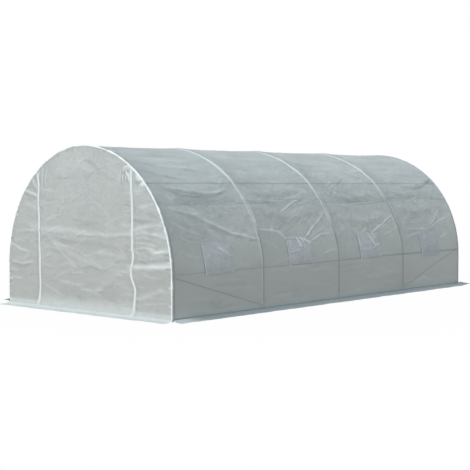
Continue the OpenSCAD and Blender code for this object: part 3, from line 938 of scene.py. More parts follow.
def coverPoint(s, y, offset=0.0):
    x, z, nx, nz = crossSection(s)
    out, white = coverShift(s, y)
    out = out + offset
    return np.stack([x + nx * out, y, z + nz * out], axis=-1), np.stack([y, s], axis=-1), white


seamS = clothAtHeight(sideHigh.z)
foldS = clothAtHeight(foldZ)
openingShape = {"width": 0.40, "insideNet": 0.015}  # window openings in the side sheets
windowW = openingShape["width"]
windowTop = clothAtHeight(netHigh.z) + openingShape["insideNet"]
windowFoot = clothAtHeight(netLow.z) - openingShape["insideNet"]


def seamLine(y):  # where the roof sheet laps the side sheet
    bay = np.clip(np.floor((y - firstHoopY) / bayL), 0, bayCount - 1).astype(int)
    inBay = np.clip((y - firstHoopY) / bayL - bay, 0.0, 1.0)
    return seamS + np.array(coverShape["seamDip"])[bay] * np.sin(inBay * math.pi) ** 2


def roofCloth(name, node):
    step = coverShape["gridRoof"]
    t, y = np.meshgrid(steps(-1, 1, step / seamS), steps(-endY, endY, step), indexing="ij")
    s = t * (seamLine(y * np.where(t < 0, -1.0, 1.0)) + coverShape["seamLap"])
    points = coverPoint(s, y, coverShape["roofRise"])
    piece = gridSheet(name, *points, coverCloth, "woven_cover", flip=True)
    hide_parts(node)


def sideCloth(name, side, node):
    step = coverShape["gridSide"]
    down = np.linspace(0, 1, int((foldS - seamS) / step))
    t, y = np.meshgrid(down, steps(-endY, endY, step), indexing="ij")
    top = seamLine(y * side) - coverShape["seamLap"]
    s = (top + t * (foldS - top)) * side
    midS = np.abs(s[:-1, :-1] + s[1:, 1:]) / 2
    midY = (y[:-1, :-1] + y[1:, 1:]) / 2
    inWindow = np.zeros_like(midS, dtype=bool)
    for bayY in bayYs:
        inWindow |= (np.abs(midY - bayY) < windowW / 2) & (midS > windowTop) & (midS < windowFoot)
    piece = gridSheet(name, *coverPoint(s, y), coverCloth, "woven_cover", flip=side > 0, keep=~inWindow)
    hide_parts(node)


roofCloth("roofSheet", "roof_cover")
sideCloth("rightSideSheet", 1, "right_side_cover")
sideCloth("leftSideSheet", -1, "left_side_cover")
print("cover made")


# lapped seams between the roof sheet and the side sheets
seamShape = {
    "width": 0.036,
    "aboveSeam": 0.012,
    "endGap": 0.015,
    "rise": 0.0024,
    "step": 0.014,
    "tones": (-0.42, -0.10, 0.0, 0.05, 0.16),  # painted shade along the strip's upper edge and painted light below it, across the strip from its upper edge
    "patches": (0.55, 0.5),  # how strong they are on average, and how much that varies along it
}


def seamStrips(name, node):
    rows = np.linspace(-seamShape["aboveSeam"], seamShape["width"] - seamShape["aboveSeam"], 5)
    columns = steps(-endY + seamShape["endGap"], endY - seamShape["endGap"], seamShape["step"])
    across, y = np.meshgrid(rows, columns, indexing="ij")
    parts = []
    for side in (1, -1):
        s = (seamLine(y * side) + across) * side
        grid, uv, white = coverPoint(s, y, seamShape["rise"])
        average, varies = seamShape["patches"]
        patchy = np.clip(average + ripple(y * side, y * 0, 71, 10, (0.2, 1.4), varies), 0.0, 1.0)
        edges = np.array(seamShape["tones"])[:, None]
        parts.append((grid, uv, white + edges * patchy, side > 0))
    piece = joinedGrids(name, parts, coverCloth, "white_trim")
    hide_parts(node)


seamStrips("roofSeamLaps", "roof_seams")


# end panels; folds run from (across, height) to (across, height) as seen on the front
endShape = {
    "grid": 0.009,
    "doorSize": (1.73, 1.90),  # of the grids, across and up
    "wingSize": (0.60, 1.64),
    "wingGap": 0.012,  # from a wing's tip up to the arch
    "billow": 0.012,
    "lip": 0.004,  # up to the piping
    "taut": 0.3,
    "warp": 0.005,
    "ripple": 0.0018,
    "darkest": -0.36,
    "facing": 0.050,  # how far the zip's facing reaches onto the wing
    "facingTone": 0.26,
    "facingStitch": 0.007,
    # zips as (height, across)
    "zipRight": [
        (0.00, 0.795), (0.02, 0.826), (0.05, 0.862), (0.11, 0.876), (0.20, 0.894), (0.26, 0.900),
        (0.31, 0.906), (0.37, 0.886), (0.45, 0.842), (0.50, 0.832), (0.57, 0.844), (0.66, 0.866),
        (0.82, 0.858), (1.05, 0.860), (1.33, 0.858), (1.48, 0.848), (1.60, 0.842), (1.72, 0.852),
    ],
    "zipLeft": [
        (0.00, -0.938), (0.02, -0.922), (0.055, -0.890), (0.095, -0.868), (0.15, -0.848), (0.24, -0.838),
        (0.48, -0.840), (0.83, -0.850), (1.13, -0.852), (1.30, -0.862), (1.42, -0.857), (1.52, -0.857),
        (1.61, -0.876), (1.72, -0.900),
    ],
    "folds": [
        # right-hand wing
        ([(0.80, 1.10), (1.12, 1.09), (1.41, 1.11)], 0.000, 0.026, 1.0, -0.20),
        ([(0.78, 0.98), (1.02, 1.02), (1.15, 1.04), (1.56, 1.06)], 0.005, 0.024, 0.7, 0.40),
        ([(0.93, 1.01), (1.10, 0.96), (1.21, 0.94), (1.54, 0.88)], 0.004, 0.018, 0.7, 0.28),
        ([(1.06, 1.00), (1.37, 0.99)], 0.000, 0.018, 1.0, -0.10),
        ([(1.09, 0.89), (1.41, 0.86)], 0.000, 0.020, 1.0, -0.10),
        ([(0.91, 0.84), (1.22, 0.86)], 0.002, 0.014, 0.8, 0.16),
        ([(0.77, 0.75), (1.03, 0.79), (1.16, 0.79), (1.29, 0.75)], 0.004, 0.015, 0.7, 0.36),
        ([(1.03, 0.80), (1.18, 0.77), (1.28, 0.75), (1.76, 0.79)], 0.007, 0.034, 0.7, 0.46),
        ([(0.73, 0.62), (1.10, 0.64), (1.23, 0.67), (1.51, 0.67)], 0.000, 0.022, 1.0, -0.24),
        ([(0.70, 0.55), (1.03, 0.57), (1.18, 0.58), (1.83, 0.62)], 0.008, 0.048, 0.7, 0.48),
        ([(1.05, 0.58), (1.74, 0.61)], 0.003, 0.028, 0.8, 0.26),
        ([(0.74, 0.35), (1.14, 0.41), (1.49, 0.50)], 0.000, 0.080, 1.0, -0.12),
        ([(0.88, 0.19), (1.14, 0.27), (1.39, 0.34)], 0.003, 0.030, 0.8, 0.22),
        ([(1.23, 0.34), (1.48, 0.32)], 0.002, 0.018, 0.8, 0.18),
        ([(1.00, 0.16), (1.52, 0.20)], 0.001, 0.010, 0.8, 0.22),
        ([(0.91, 1.21), (1.07, 1.24)], 0.002, 0.018, 0.8, 0.14),
        ([(1.07, 1.26), (1.23, 1.30)], 0.002, 0.022, 0.8, 0.16),
        ([(1.37, 0.72), (1.48, 0.74)], -0.003, 0.010, 1.0, -0.60),
        ([(1.37, 0.68), (1.49, 0.66)], -0.003, 0.010, 1.0, -0.60),
        ([(1.38, 0.57), (1.51, 0.57)], -0.003, 0.010, 1.0, -0.60),
        ([(1.41, 0.64), (1.48, 0.64)], 0.002, 0.009, 0.8, 0.60),
        # crinkles where the right-hand zip ends
        ([(0.92, 1.62), (0.99, 1.55)], 0.008, 0.020, 0.9, 2.00),
        ([(1.00, 1.49), (1.08, 1.54)], 0.008, 0.021, 0.9, 2.20),
        ([(0.88, 1.69), (0.96, 1.61)], 0.006, 0.017, 0.9, 1.50),
        ([(0.76, 1.65), (0.82, 1.59)], 0.005, 0.013, 0.9, 1.50),
        ([(0.71, 1.68), (0.74, 1.71), (0.78, 1.71), (0.80, 1.67)], 0.005, 0.010, 0.9, 0.90),
        ([(0.72, 1.73), (0.71, 1.54)], 0.003, 0.009, 0.9, 0.55),
        ([(0.76, 1.71), (0.75, 1.53)], 0.003, 0.009, 0.9, 0.55),
        ([(0.67, 1.68), (0.67, 1.51)], 0.003, 0.009, 0.9, 0.40),
        ([(0.74, 1.69), (0.73, 1.52)], -0.002, 0.009, 1.0, -0.50),
        ([(0.69, 1.68), (0.68, 1.50)], -0.002, 0.009, 1.0, -0.45),
        ([(0.78, 1.62), (0.78, 1.52)], -0.002, 0.009, 1.0, -0.45),
        ([(0.92, 1.52), (0.99, 1.57)], -0.002, 0.009, 1.0, -0.50),
        ([(0.95, 1.51), (1.02, 1.56)], -0.002, 0.009, 1.0, -0.50),
        # and the left-hand one
        ([(-0.77, 1.76), (-0.79, 1.49)], 0.003, 0.010, 0.8, 0.50),
        ([(-0.70, 1.74), (-0.72, 1.48)], 0.003, 0.010, 0.8, 0.48),
        ([(-0.85, 1.74), (-0.86, 1.62)], 0.003, 0.010, 0.8, 0.50),
        ([(-0.82, 1.66), (-0.83, 1.51)], -0.002, 0.010, 1.0, -0.30),
        ([(-0.74, 1.75), (-0.76, 1.45)], -0.002, 0.010, 1.0, -0.32),
        ([(-1.00, 1.63), (-0.96, 1.53)], 0.003, 0.012, 0.8, 0.45),
        ([(-0.98, 1.59), (-0.89, 1.44)], 0.003, 0.014, 0.8, 0.50),
        ([(-1.05, 1.54), (-0.90, 1.41)], -0.002, 0.016, 1.0, -0.34),
        ([(-0.94, 1.65), (-0.91, 1.50)], -0.002, 0.011, 1.0, -0.24),
        # door
        ([(-1.27, 0.96), (-0.68, 0.96), (-0.33, 0.96), (0.01, 0.93), (0.44, 0.91), (0.75, 0.94),
          (1.23, 0.98)], 0.007, 0.040, 0.7, 0.26),
        ([(-1.12, 0.89), (-0.45, 0.85), (0.00, 0.82), (0.44, 0.79), (1.19, 0.78)],
         0.000, 0.042, 1.0, -0.18),
        ([(-0.83, 0.92), (-0.45, 0.76), (-0.07, 0.63), (0.40, 0.51)], 0.004, 0.045, 0.8, 0.14),
        ([(-0.63, 0.84), (-0.40, 0.69), (-0.06, 0.47)], 0.001, 0.011, 0.8, 0.30),
        ([(-0.87, 0.96), (-0.61, 0.86), (-0.28, 0.74)], 0.002, 0.011, 0.8, 0.24),
        ([(-0.91, 0.96), (-0.41, 0.92), (0.32, 0.91)], 0.002, 0.012, 0.8, 0.22),
        ([(-0.91, 0.94), (-0.41, 0.87), (0.08, 0.83)], 0.002, 0.012, 0.8, 0.18),
        ([(-0.34, 0.80), (0.15, 0.64), (0.40, 0.49)], 0.001, 0.011, 0.8, 0.16),
        ([(-0.62, 0.80), (-0.22, 0.77)], 0.001, 0.018, 0.8, 0.20),
        ([(-0.78, 0.29), (-0.42, 0.18)], 0.001, 0.018, 0.8, 0.22),
        ([(0.16, 0.24), (0.50, 0.40), (0.74, 0.53)], 0.004, 0.060, 0.8, 0.08),
        ([(-0.75, 0.60), (-0.20, 0.54), (0.40, 0.60), (0.80, 0.58)], 0.003, 0.060, 0.8, 0.08),
        ([(-0.60, 0.25), (0.00, 0.22), (0.75, 0.30)], 0.000, 0.090, 1.0, -0.10),
        ([(0.20, 0.72), (0.80, 0.67)], 0.003, 0.040, 0.7, 0.16),
        ([(-0.74, 1.00), (-0.40, 1.22), (0.02, 1.44)], 0.001, 0.012, 0.8, 0.10),
        ([(0.02, 1.42), (0.30, 1.26), (0.54, 1.10)], 0.001, 0.012, 0.8, 0.20),
        ([(-0.70, 1.06), (-0.52, 1.20)], 0.002, 0.010, 0.8, 0.20),
        ([(-0.77, 1.10), (-0.46, 1.27)], 0.002, 0.010, 0.8, 0.16),
        ([(-0.62, 1.62), (0.00, 1.72), (0.60, 1.64)], 0.002, 0.070, 0.8, 0.08),
        # left-hand wing
        ([(-1.18, 1.46), (-1.02, 1.41), (-0.86, 1.37)], 0.004, 0.016, 0.8, 0.85),
        ([(-1.17, 1.41), (-0.88, 1.33)], 0.000, 0.014, 1.0, -0.25),
        ([(-1.50, 0.79), (-1.26, 0.72), (-1.04, 0.67)], 0.003, 0.012, 0.8, 0.60),
        ([(-1.48, 0.55), (-1.25, 0.52), (-0.94, 0.56)], 0.004, 0.020, 0.7, 0.36),
        ([(-1.48, 0.52), (-1.25, 0.49), (-1.00, 0.53)], 0.000, 0.018, 1.0, -0.24),
        ([(-1.48, 0.45), (-1.28, 0.42)], 0.003, 0.016, 0.8, 0.28),
        ([(-1.48, 0.35), (-1.20, 0.33)], 0.003, 0.017, 0.8, 0.26),
        ([(-1.38, 0.92), (-0.92, 0.95)], 0.003, 0.026, 0.8, 0.16),
    ],
    # count, seed, two corners as (across, height downwards), lengths, half widths, rises, turn, painted light
    # and shade
    "loose": [
        (170, 23, (-1.45, -1.85), (1.0, -0.08), (0.12, 0.6), (0.010, 0.024), (0.0004, 0.0014), 0.35, 0.22),
        (30, 33, (0.90, -1.30), (1.20, -0.62), (0.16, 0.45), (0.014, 0.028), (0.0010, 0.0030), 0.20, 0.26),
        (24, 35, (0.70, -1.73), (0.94, -1.50), (0.03, 0.09), (0.008, 0.011), (0.0015, 0.0040), 1.4, 1.3),
        (14, 36, (0.90, -1.60), (1.06, -1.49), (0.02, 0.07), (0.008, 0.011), (0.0015, 0.0040), 1.2, 1.6),
    ],
}
panelR = coverR - clothT


def hang(line):  # folds are worked out downwards
    return [(x, -z) for x, z in line]


def rimPuckers(seed, count):  # short gathers where the panel is sewn to the piping and the zips
    pick = np.random.default_rng(seed)
    made = []
    for _ in range(count):
        s = pick.uniform(-foldS, foldS)
        x, z, nx, nz = crossSection(np.array(s))
        if z > 1.2 and pick.uniform() < 0.85:
            continue
        reach, turn = pick.uniform(0.03, 0.08), pick.uniform(-0.35, 0.35)
        inner = (float(x - reach * (nx + turn * nz)), float(z - reach * (nz - turn * nx)))
        rise, half = pick.uniform(0.002, 0.006), pick.uniform(0.010, 0.013)
        made.append((hang([(float(x), float(z)), inner]), rise, half, 0.8, pick.uniform(-0.5, 0.6)))
    for path in (endShape["zipRight"], endShape["zipLeft"]):
        for _ in range(count // 9):
            z = pick.uniform(0.08, 1.5)
            x = float(pathAt(path, np.array(z)))
            reach = pick.uniform(0.10, 0.35) * pick.choice((-1.0, 1.0))
            line = [(x, z), (x + reach, z + pick.uniform(-0.05, 0.05))]
            rise, half = pick.uniform(0.001, 0.002), pick.uniform(0.014, 0.024)
            made.append((hang(line), rise, half, 0.8, pick.uniform(0.0, 0.22)))
    return made


def pathAt(points, z):  # smooth curve through a few points
    heights, values = (np.array(column) for column in zip(*points))
    slopes = np.gradient(values, heights)
    index = np.clip(np.searchsorted(heights, z) - 1, 0, len(heights) - 2)
    span = heights[index + 1] - heights[index]
    t = np.clip((z - heights[index]) / span, 0.0, 1.0)
    a, b = values[index], values[index + 1]
    sa, sb = slopes[index] * span, slopes[index + 1] * span
    return a + t * sa + t**2 * (3 * (b - a) - 2 * sa - sb) + t**3 * (2 * (a - b) + sa + sb)


def edgeX(z):
    return np.where(z < legH, panelR, np.sqrt(np.maximum(panelR**2 - (z - legH) ** 2, 0.0)))


endFolds = [(hang(line), *shape) for line, *shape in endShape["folds"]]
for row in endShape["loose"]:
    endFolds += looseFolds(*row)
endFolds += rimPuckers(29, 150)


def endShift(x, z):  # how far an end panel stands out, and its painted light and shade
    shape = endShape
    inside = panelR - np.hypot(x, np.maximum(z - legH, 0.0))  # distance from the rim
    rim = smooth(inside / 0.25) * smooth((z - foldZ) / 0.2)
    height, white = foldField(*warped(x, -z, 63, shape["warp"]), endFolds)
    loose = shape["taut"] + (1 - shape["taut"]) * rim
    lip = shape["lip"] * (1 - smooth(inside / 0.03))
    wave = ripple(x, z, 9, 16, (0.15, 0.7), shape["ripple"])
    for path, side in ((shape["zipRight"], 1), (shape["zipLeft"], -1)):  # stitch line of the zip's facing
        away = (x - pathAt(path, z)) * side - shape["facing"]
        stitch = np.exp(-((away / shape["facingStitch"]) ** 2)) * smooth((1.35 - z) / 0.3)
        white = white - shape["facingTone"] * stitch
    white = np.clip(white, shape["darkest"], 1.0)
    return shape["billow"] * rim * (0.4 + 0.6 * np.cos(x * 1.1)) + lip + (height + wave) * loose, white


# end is -1 at the front and 1 at the rear, which is the front turned half round
def endPoint(x, z, end, offset=0.0):
    out, white = endShift(x, z)
    out = out + offset - clothBack
    return np.stack([-end * x, end * (endY + out), z], axis=-1), np.stack([x, z], axis=-1), white


def endGrid(size):  # places across and up a panel, both from 0 to 1
    return np.meshgrid(*(steps(0, 1, endShape["grid"] / length) for length in size), indexing="ij")


def doorSheet(name, end, node):
    u, v = endGrid(endShape["doorSize"])
    leftTop, rightTop = endShape["zipLeft"][-1][1], endShape["zipRight"][-1][1]
    topX = leftTop + u * (rightTop - leftTop)
    topZ = legH + np.sqrt(panelR**2 - topX**2)
    z = foldZ + v * (topZ - foldZ)
    left, right = pathAt(endShape["zipLeft"], z), pathAt(endShape["zipRight"], z)
    x = left + u * (right - left)
    piece = gridSheet(name, *endPoint(x, z, end), endCloth, "woven_cover")
    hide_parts(node)


def wingSheet(name, end, side, node):
    path = endShape["zipRight"] if side > 0 else endShape["zipLeft"]
    topZ = legH + math.sqrt(panelR**2 - path[-1][1] ** 2) - endShape["wingGap"]
    u, v = endGrid(endShape["wingSize"])
    z = foldZ + v * (topZ - foldZ)
    inner = pathAt(path, z)
    x = inner + u * (side * edgeX(z) - inner)
    piece = gridSheet(name, *endPoint(x, z, end), endCloth, "woven_cover", flip=side < 0)
    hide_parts(node)


for end, label in ((-1, "front"), (1, "rear")):
    doorSheet(label + "DoorSheet", end, label + "_door_panel")
    mirrored = 1 if end < 0 else -1  # the rear's right-hand wing is on the turned panel's left
    wingSheet(label + "RightWing", end, mirrored, label + "_right_panel")
    wingSheet(label + "LeftWing", end, -mirrored, label + "_left_panel")
print("end panels made")


# zips: a tape with a raised coil down its middle
zipShape = {
    "tapeW": 0.034,
    "flare": 0.4,  # wider at the foot
    "tapeLift": (0.0030, 0.0016),  # at its edges, and further at its middle
    "coilR": 0.0042,
    "coilLift": 0.0046,
    "teeth": 0.12,
    "topGap": (0.015, 0.002),  # sideways along the arch from the path's top, and down from there
    "footReach": 0.004,
    "step": 0.010,
}


def zipPair(name, end, node):
    parts = []
    sideways, down = zipShape["topGap"]
    for path in (endShape["zipLeft"], endShape["zipRight"]):
        topZ = legH + math.sqrt(panelR**2 - (abs(path[-1][1]) + sideways) ** 2) - down
        z = steps(foldZ - zipShape["footReach"], topZ, zipShape["step"])
        middle = pathAt(path, z)
        across = np.linspace(-0.5, 0.5, 7)
        width = zipShape["tapeW"] * (1 + zipShape["flare"] * smooth((0.24 - z) / 0.14))
        tapeX = middle[None, :] + across[:, None] * width[None, :]
        edgeLift, middleLift = zipShape["tapeLift"]
        lift = edgeLift + middleLift * (1 - (across / across[-1]) ** 2)[:, None]
        parts.append((*endPoint(tapeX, np.broadcast_to(z, tapeX.shape), end, lift), False))
        turns = np.linspace(0, math.pi, 7)
        coilX = middle[None, :] - zipShape["coilR"] * np.cos(turns)[:, None]
        teeth = 1 + zipShape["teeth"] * np.cos(np.arange(len(z)) * math.pi)
        coil = zipShape["coilLift"] + zipShape["coilR"] * 0.8 * np.sin(turns)[:, None] * teeth[None, :]
        parts.append((*endPoint(coilX, np.broadcast_to(z, coilX.shape), end, coil), False))
    piece = joinedGrids(name, parts, zipTape, "zip")
    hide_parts(node)


zipPair("frontZipTapes", -1, "front_zips")
zipPair("rearZipTapes", 1, "rear_zips")


# piping round each end
weltShape = {
    "radius": 0.0118,
    "inset": (0.0045, 0.0125),  # front, then rear
    "back": (0.0090, 0.0005),
    "drawnIn": (0.0105, -0.0070),  # on the front's right-hand half, where it lies on the panel
    "sides": 12,
    "step": 0.015,
    "uneven": 0.0022,
}


def weltTube(name, end, node):
    s = steps(-foldS, foldS, weltShape["step"])
    x, z, nx, nz = crossSection(s)
    inset, back = (weltShape[key][end > 0] for key in ("inset", "back"))
    drawn = smooth((x + 0.3) / 0.8) * (end < 0)
    inset, back = inset + drawn * weltShape["drawnIn"][0], back + drawn * weltShape["drawnIn"][1]
    centres = np.stack([x - nx * inset, end * (endY - back), z - nz * inset], axis=-1)
    normals = np.stack([nx, np.zeros_like(s), nz], axis=-1)
    sideways = np.broadcast_to(np.array([0.0, float(end), 0.0]), centres.shape)
    radius = weltShape["radius"] + ripple(s, np.zeros_like(s), 31, 14, (0.05, 0.3), weltShape["uneven"])
    turns = np.linspace(0, 2 * math.pi, weltShape["sides"] + 1)
    ring = np.cos(turns)[:, None, None] * normals[None] + np.sin(turns)[:, None, None] * sideways[None]
    rings = centres[None] + radius[None, :, None] * ring
    uv = np.stack(np.broadcast_arrays(s[None, :], turns[:, None] * weltShape["radius"]), axis=-1)
    piece = joinedGrids(name, [(rings, uv, 0.0, end < 0)], whiteTrim, "white_trim")
    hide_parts(node)


weltTube("frontPiping", -1, "front_welt")
weltTube("rearPiping", 1, "rear_welt")
print("zips and piping made")


# windows: a net behind each opening and a film flap in front, with a pale tape down each side
windowShape = {
    "grid": 0.007,
    "flapW": 0.47,
    "netLap": 0.014,
    "netBack": 0.002,
    "flapLift": 0.006,
    "tapeW": 0.013,
    "tapeLift": 0.0085,
    "tapeAbove": 0.006,
    "tapeBelow": (0.035, 0.004),  # how far the wide tape and the narrow one reach below the flap
    "tapeNarrow": 0.6,  # the narrow one's part of the width
    "bulge": 0.008,
    "ripple": 0.0014,
    "bayTone": (0.05, 0.0, 0.04, -1.0),
    "drop": (0.030, 0.0, 0.0, 0.040),  # how much lower the flap hangs in each bay
    "folds": [
        # first window
        ([(-2.24, 0.79), (-2.10, 0.72), (-2.01, 0.67)], 0.006, 0.013, 0.6, 0.75),
        ([(-2.26, 0.84), (-2.12, 0.73)], 0.004, 0.011, 0.7, 0.45),
        ([(-2.38, 0.76), (-2.14, 0.69)], 0.003, 0.012, 0.7, 0.20),
        ([(-2.42, 0.66), (-2.28, 0.58)], 0.003, 0.012, 0.7, 0.15),
        # second window
        ([(-0.78, 0.87), (-0.71, 0.72)], 0.010, 0.011, 0.7, 1.60),
        ([(-0.72, 0.87), (-0.64, 0.78)], 0.006, 0.011, 0.8, 1.20),
        ([(-0.98, 0.86), (-0.79, 0.85)], 0.005, 0.012, 0.8, 1.00),
        ([(-0.65, 0.84), (-0.51, 0.75)], 0.006, 0.022, 0.8, 0.95),
        ([(-0.93, 0.84), (-0.90, 0.73)], 0.004, 0.010, 0.8, 0.50),
        ([(-0.69, 0.75), (-0.57, 0.68)], 0.004, 0.010, 0.8, 0.40),
        ([(-0.98, 0.66), (-0.74, 0.69)], 0.003, 0.013, 0.7, 0.22),
        # third window
        ([(0.72, 0.91), (0.81, 0.76), (0.89, 0.64)], 0.006, 0.012, 0.8, 1.20),
        ([(0.81, 0.91), (0.90, 0.77)], 0.005, 0.011, 0.8, 0.90),
        ([(0.86, 0.68), (1.07, 0.70)], 0.004, 0.011, 0.8, 0.70),
        ([(0.51, 0.84), (0.55, 0.67)], 0.004, 0.011, 0.8, 0.60),
        ([(0.53, 0.63), (0.90, 0.65)], 0.003, 0.013, 0.7, 0.22),
        # fourth window
        ([(1.96, 0.86), (2.10, 0.87), (2.21, 0.88)], 0.004, 0.016, 0.8, 0.60),
        ([(2.04, 0.89), (2.05, 0.77)], 0.004, 0.030, 0.8, 0.70),
        ([(2.00, 0.86), (1.95, 0.68)], -0.002, 0.020, 1.0, -0.40),
        ([(2.10, 0.85), (2.03, 0.68)], -0.002, 0.020, 1.0, -0.45),
        ([(2.14, 0.87), (2.22, 0.80)], 0.004, 0.011, 0.8, 0.55),
        ([(2.28, 0.87), (2.36, 0.82)], 0.004, 0.011, 0.8, 0.45),
        ([(2.10, 0.74), (2.34, 0.66)], 0.003, 0.013, 0.7, 0.16),
    ],
}
flapTop, flapFoot = clothAtHeight(flapHigh.z), clothAtHeight(flapLow.z)
flapFolds = onCloth(windowShape["folds"])


def bayOf(bayY, side):  # bays are counted from the front on the right-hand side
    return int(np.argmin(np.abs(np.array(bayYs) - bayY * side)))


def flapGrid(bayY, side, rows, columns, offset):
    s, y = np.meshgrid(rows * side, bayY + columns, indexing="ij")
    t = np.clip((np.abs(s) - flapTop) / (flapFoot - flapTop), 0, 1)
    bulge = np.sin(t * math.pi) * np.cos((y - bayY) / windowShape["flapW"] * math.pi)
    height, white = foldField(y * side, np.abs(s), flapFolds)
    small = ripple(y * side, np.abs(s), 41, 12, (0.05, 0.22), windowShape["ripple"])
    stand = offset + windowShape["bulge"] * bulge + height + small
    white = white + windowShape["bayTone"][bayOf(bayY, side)]
    grid, uv, _ = coverPoint(s, y, stand)
    return grid, uv, white, side > 0


def windowFlaps(name, side, node):
    columns = steps(-windowShape["flapW"] / 2, windowShape["flapW"] / 2, windowShape["grid"])
    parts = []
    for bayY in bayYs:
        rows = steps(flapTop, flapFoot + windowShape["drop"][bayOf(bayY, side)], windowShape["grid"])
        parts.append(flapGrid(bayY, side, rows, columns, windowShape["flapLift"]))
    piece = joinedGrids(name, parts, clearFilm, "window_film")
    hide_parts(node)


def windowTapes(name, side):
    parts = []
    wideBelow, narrowBelow = windowShape["tapeBelow"]
    for bayY in bayYs:
        for edge in (-1, 1):
            isWide = edge * side < 0  # the front edge on the right-hand side, the rear one on the left
            width = windowShape["tapeW"] * (1.0 if isWide else windowShape["tapeNarrow"])
            columns = edge * windowShape["flapW"] / 2 + np.linspace(-0.5, 0.5, 4) * width
            foot = flapFoot + (wideBelow if isWide else narrowBelow)
            rows = steps(flapTop - windowShape["tapeAbove"], foot, windowShape["grid"])
            parts.append(flapGrid(bayY, side, rows, columns, windowShape["tapeLift"]))
    piece = joinedGrids(name, parts, softTape, "white_trim")


def windowNets(name, side, node):
    lap = windowShape["netLap"]
    rows = steps(windowTop - lap, windowFoot + lap, windowShape["grid"])
    columns = steps(-windowW / 2 - lap, windowW / 2 + lap, windowShape["grid"])
    parts = []
    for bayY in bayYs:
        s, y = np.meshgrid(rows * side, bayY + columns, indexing="ij")
        parts.append((*coverPoint(s, y, -windowShape["netBack"]), side > 0))
    piece = joinedGrids(name, parts, fineNet, "window_net")
    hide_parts(node)


for side, label in ((1, "right"), (-1, "left")):
    windowFlaps(label + "WindowFlaps", side, label + "_window_flaps")
    windowTapes(label + "WindowTapes", side)
    windowNets(label + "WindowNets", side, label + "_window_nets")
print("windows made")


# skirt lying on the ground along each wall
skirtShape = {
    "grid": 0.014,
    "ground": 0.0015,  # height of the cloth where it lies flat
    "slopeW": 0.075,
    "wave": 0.003,
    "edgeWave": 0.003,
    "paleCorner": 0.45,
    "cornerL": 0.20,  # the far corner, where the tip is lifted and painted in shade
    "cornerShade": 0.8,
}
sideSkirt = {
    "wall": coverR,
    "halfL": endY,
    "flare": sideSkirtHigh.y - endY,
    "foldTone": -0.16,
    "foldW": 0.06,
    "cornerTone": 0.6,
}
endSkirt = {
    "wall": endY,
    "halfL": panelR,
    "flare": endSkirtHigh.x - panelR,
    "foldTone": 0.9,
    "foldW": 0.03,
    "cornerTone": 0.0,
}


def skirtSheet(name, node, mat, run, outward, seed, tipLift):
    halfL, flare = run["halfL"], run["flare"]
    t, v = np.meshgrid(np.linspace(0, 1, 15), steps(-1, 1, skirtShape["grid"] / halfL), indexing="ij")
    along = v * (halfL + flare * t)
    edge = ripple(along, t * 0, seed, 10, (0.25, 1.2), skirtShape["edgeWave"])
    out = t * skirtW + edge * t**2
    slope = 1 - smooth(out / skirtShape["slopeW"])
    lift = np.abs(ripple(along, out, seed + 1, 10, (0.18, 0.7), skirtShape["wave"]))
    lift = lift * smooth(t * 2) * (0.35 + 0.65 * t)
    far = np.zeros_like(along)
    if run["cornerTone"]:
        far = smooth((along - halfL + skirtShape["cornerL"]) / skirtShape["cornerL"])
    lift = lift + tipLift * far * smooth(t * 4) * (1 - 0.6 * t)
    z = skirtShape["ground"] + (foldZ - skirtShape["ground"]) * slope + lift
    # painted shade in the side skirts' fold, a painted highlight along the end skirts' fold, paler near a
    # side skirt's front corner, and painted shade on the lifted far corner
    fold = run["foldTone"] * (1 - smooth(out / run["foldW"]))
    corner = run["cornerTone"] * smooth((skirtShape["paleCorner"] - halfL - along) / 0.3)
    white = np.where(corner > 0, np.maximum(fold, corner), fold) - skirtShape["cornerShade"] * far
    away = run["wall"] + out
    x, y = outward[0] * away - outward[1] * along, outward[1] * away + outward[0] * along
    uv = np.stack([along, out], axis=-1)
    piece = gridSheet(name, np.stack([x, y, z], axis=-1), uv, white, mat, "woven_cover")
    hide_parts(node)


skirtSheet("rightSkirtSheet", "right_skirt", sideSkirtShadedCloth, sideSkirt, (1, 0), 51, 0.036)
skirtSheet("leftSkirtSheet", "left_skirt", sideSkirtShadedCloth, sideSkirt, (-1, 0), 53, 0.055)
skirtSheet("frontSkirtSheet", "front_skirt", endSkirtLitCloth, endSkirt, (0, -1), 55, 0.0)
skirtSheet("rearSkirtSheet", "rear_skirt", endSkirtLitCloth, endSkirt, (0, 1), 57, 0.0)
print("skirts made")


# the steel frame keeps its solids
tubeNodes = [
    "ridge_purlin", "left_shoulder_purlin", "right_shoulder_purlin", "left_side_rail", "right_side_rail",
    "left_braces", "right_braces",
]
for nodeName in hoopNodes + tubeNodes:
    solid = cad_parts[nodeName]
    solid.data.materials.clear()
    solid.data.materials.append(zincTube)
print("frame dressed")


# pale floor, soft light and a white surround
stageLook = {
    "floorSize": 160.0,
    "floorColour": (0.60, 0.56, 0.51, 1.0),
    "floorRoughness": 0.9,
    "floorWhite": (3.0, 6.0, 0.975, 1.0),  # distances from, to, and how white the floor is seen at each
    "skyHeights": (0.0, 0.9),
    "horizon": (1.06, 0.95, 0.91, 1.0),
    "horizonStrength": 0.285,
    "zenith": (0.64, 0.98, 1.17, 1.0),
    "zenithStrength": 0.75,
    "sunColour": (0.935, 0.985, 0.995),
    "sunStrength": 2.05,
    "sunSoftness": 22.0,
    "sunFrom": (0.00, -0.78, 0.62),
}


def seenWhite(tree):  # 1 for the rays that should see plain white
    path = addNode(tree, "ShaderNodeLightPath")
    seen = calc(tree, "MAXIMUM", path.outputs["Is Camera Ray"], path.outputs["Is Glossy Ray"])
    return calc(tree, "MAXIMUM", seen, path.outputs["Is Transmission Ray"])


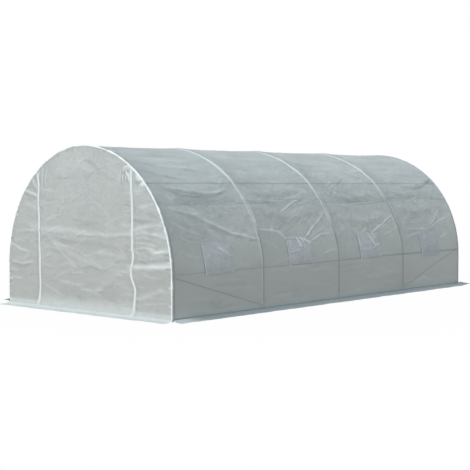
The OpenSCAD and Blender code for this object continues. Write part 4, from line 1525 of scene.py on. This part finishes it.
def makeFloor(look):
    half = look["floorSize"] / 2
    mesh = bpy.data.meshes.new("stageFloor")
    corners = [(-half, -half, 0), (half, -half, 0), (half, half, 0), (-half, half, 0)]
    mesh.from_pydata(corners, [], [(0, 1, 2, 3)])
    floor = bpy.data.objects.new("stageFloor", mesh)
    bpy.context.scene.collection.objects.link(floor)
    mat, tree, shader = newMaterial("stageFloor")
    shader.inputs["Base Color"].default_value = look["floorColour"]
    shader.inputs["Roughness"].default_value = look["floorRoughness"]
    place = addNode(tree, "ShaderNodeTexCoord").outputs["Object"]
    far = addNode(tree, "ShaderNodeVectorMath", operation="LENGTH")
    tree.links.new(place, far.inputs[0])
    fade = stretch(tree, far.outputs["Value"], *look["floorWhite"])
    white = addNode(tree, "ShaderNodeEmission")
    white.inputs["Color"].default_value = (1.0, 1.0, 1.0, 1.0)
    both = addNode(tree, "ShaderNodeMixShader")
    tree.links.new(calc(tree, "MULTIPLY", seenWhite(tree), fade), both.inputs[0])
    tree.links.new(shader.outputs[0], both.inputs[1])
    tree.links.new(white.outputs[0], both.inputs[2])
    tree.links.new(both.outputs[0], tree.nodes["Material Output"].inputs["Surface"])
    mesh.materials.append(mat)


def makeLight(look):
    world = bpy.data.worlds.new("softSky")
    bpy.context.scene.world = world
    world.use_nodes = True
    tree = world.node_tree
    parts = addNode(tree, "ShaderNodeSeparateXYZ")
    tree.links.new(addNode(tree, "ShaderNodeTexCoord").outputs["Generated"], parts.inputs[0])
    low, high = look["skyHeights"]
    height = stretch(tree, parts.outputs[2], low, high)
    sky = tree.nodes["Background"]
    tree.links.new(blendColour(tree, height, look["horizon"], look["zenith"]), sky.inputs["Color"])
    strength = stretch(tree, parts.outputs[2], low, high, look["horizonStrength"], look["zenithStrength"])
    tree.links.new(strength, sky.inputs["Strength"])
    white = addNode(tree, "ShaderNodeBackground")
    white.inputs["Color"].default_value = (1.0, 1.0, 1.0, 1.0)
    both = addNode(tree, "ShaderNodeMixShader")
    tree.links.new(seenWhite(tree), both.inputs[0])
    tree.links.new(sky.outputs[0], both.inputs[1])
    tree.links.new(white.outputs[0], both.inputs[2])
    tree.links.new(both.outputs[0], tree.nodes["World Output"].inputs["Surface"])
    data = bpy.data.lights.new("softSun", "SUN")
    data.color = look["sunColour"]
    data.energy = look["sunStrength"]
    data.angle = math.radians(look["sunSoftness"])
    sun = bpy.data.objects.new("softSun", data)
    sun.rotation_mode = "QUATERNION"
    sun.rotation_quaternion = Vector(look["sunFrom"]).to_track_quat("Z", "Y")
    bpy.context.scene.collection.objects.link(sun)


makeFloor(stageLook)
makeLight(stageLook)
bpy.context.scene.view_settings.view_transform = "Standard"
print("stage set")
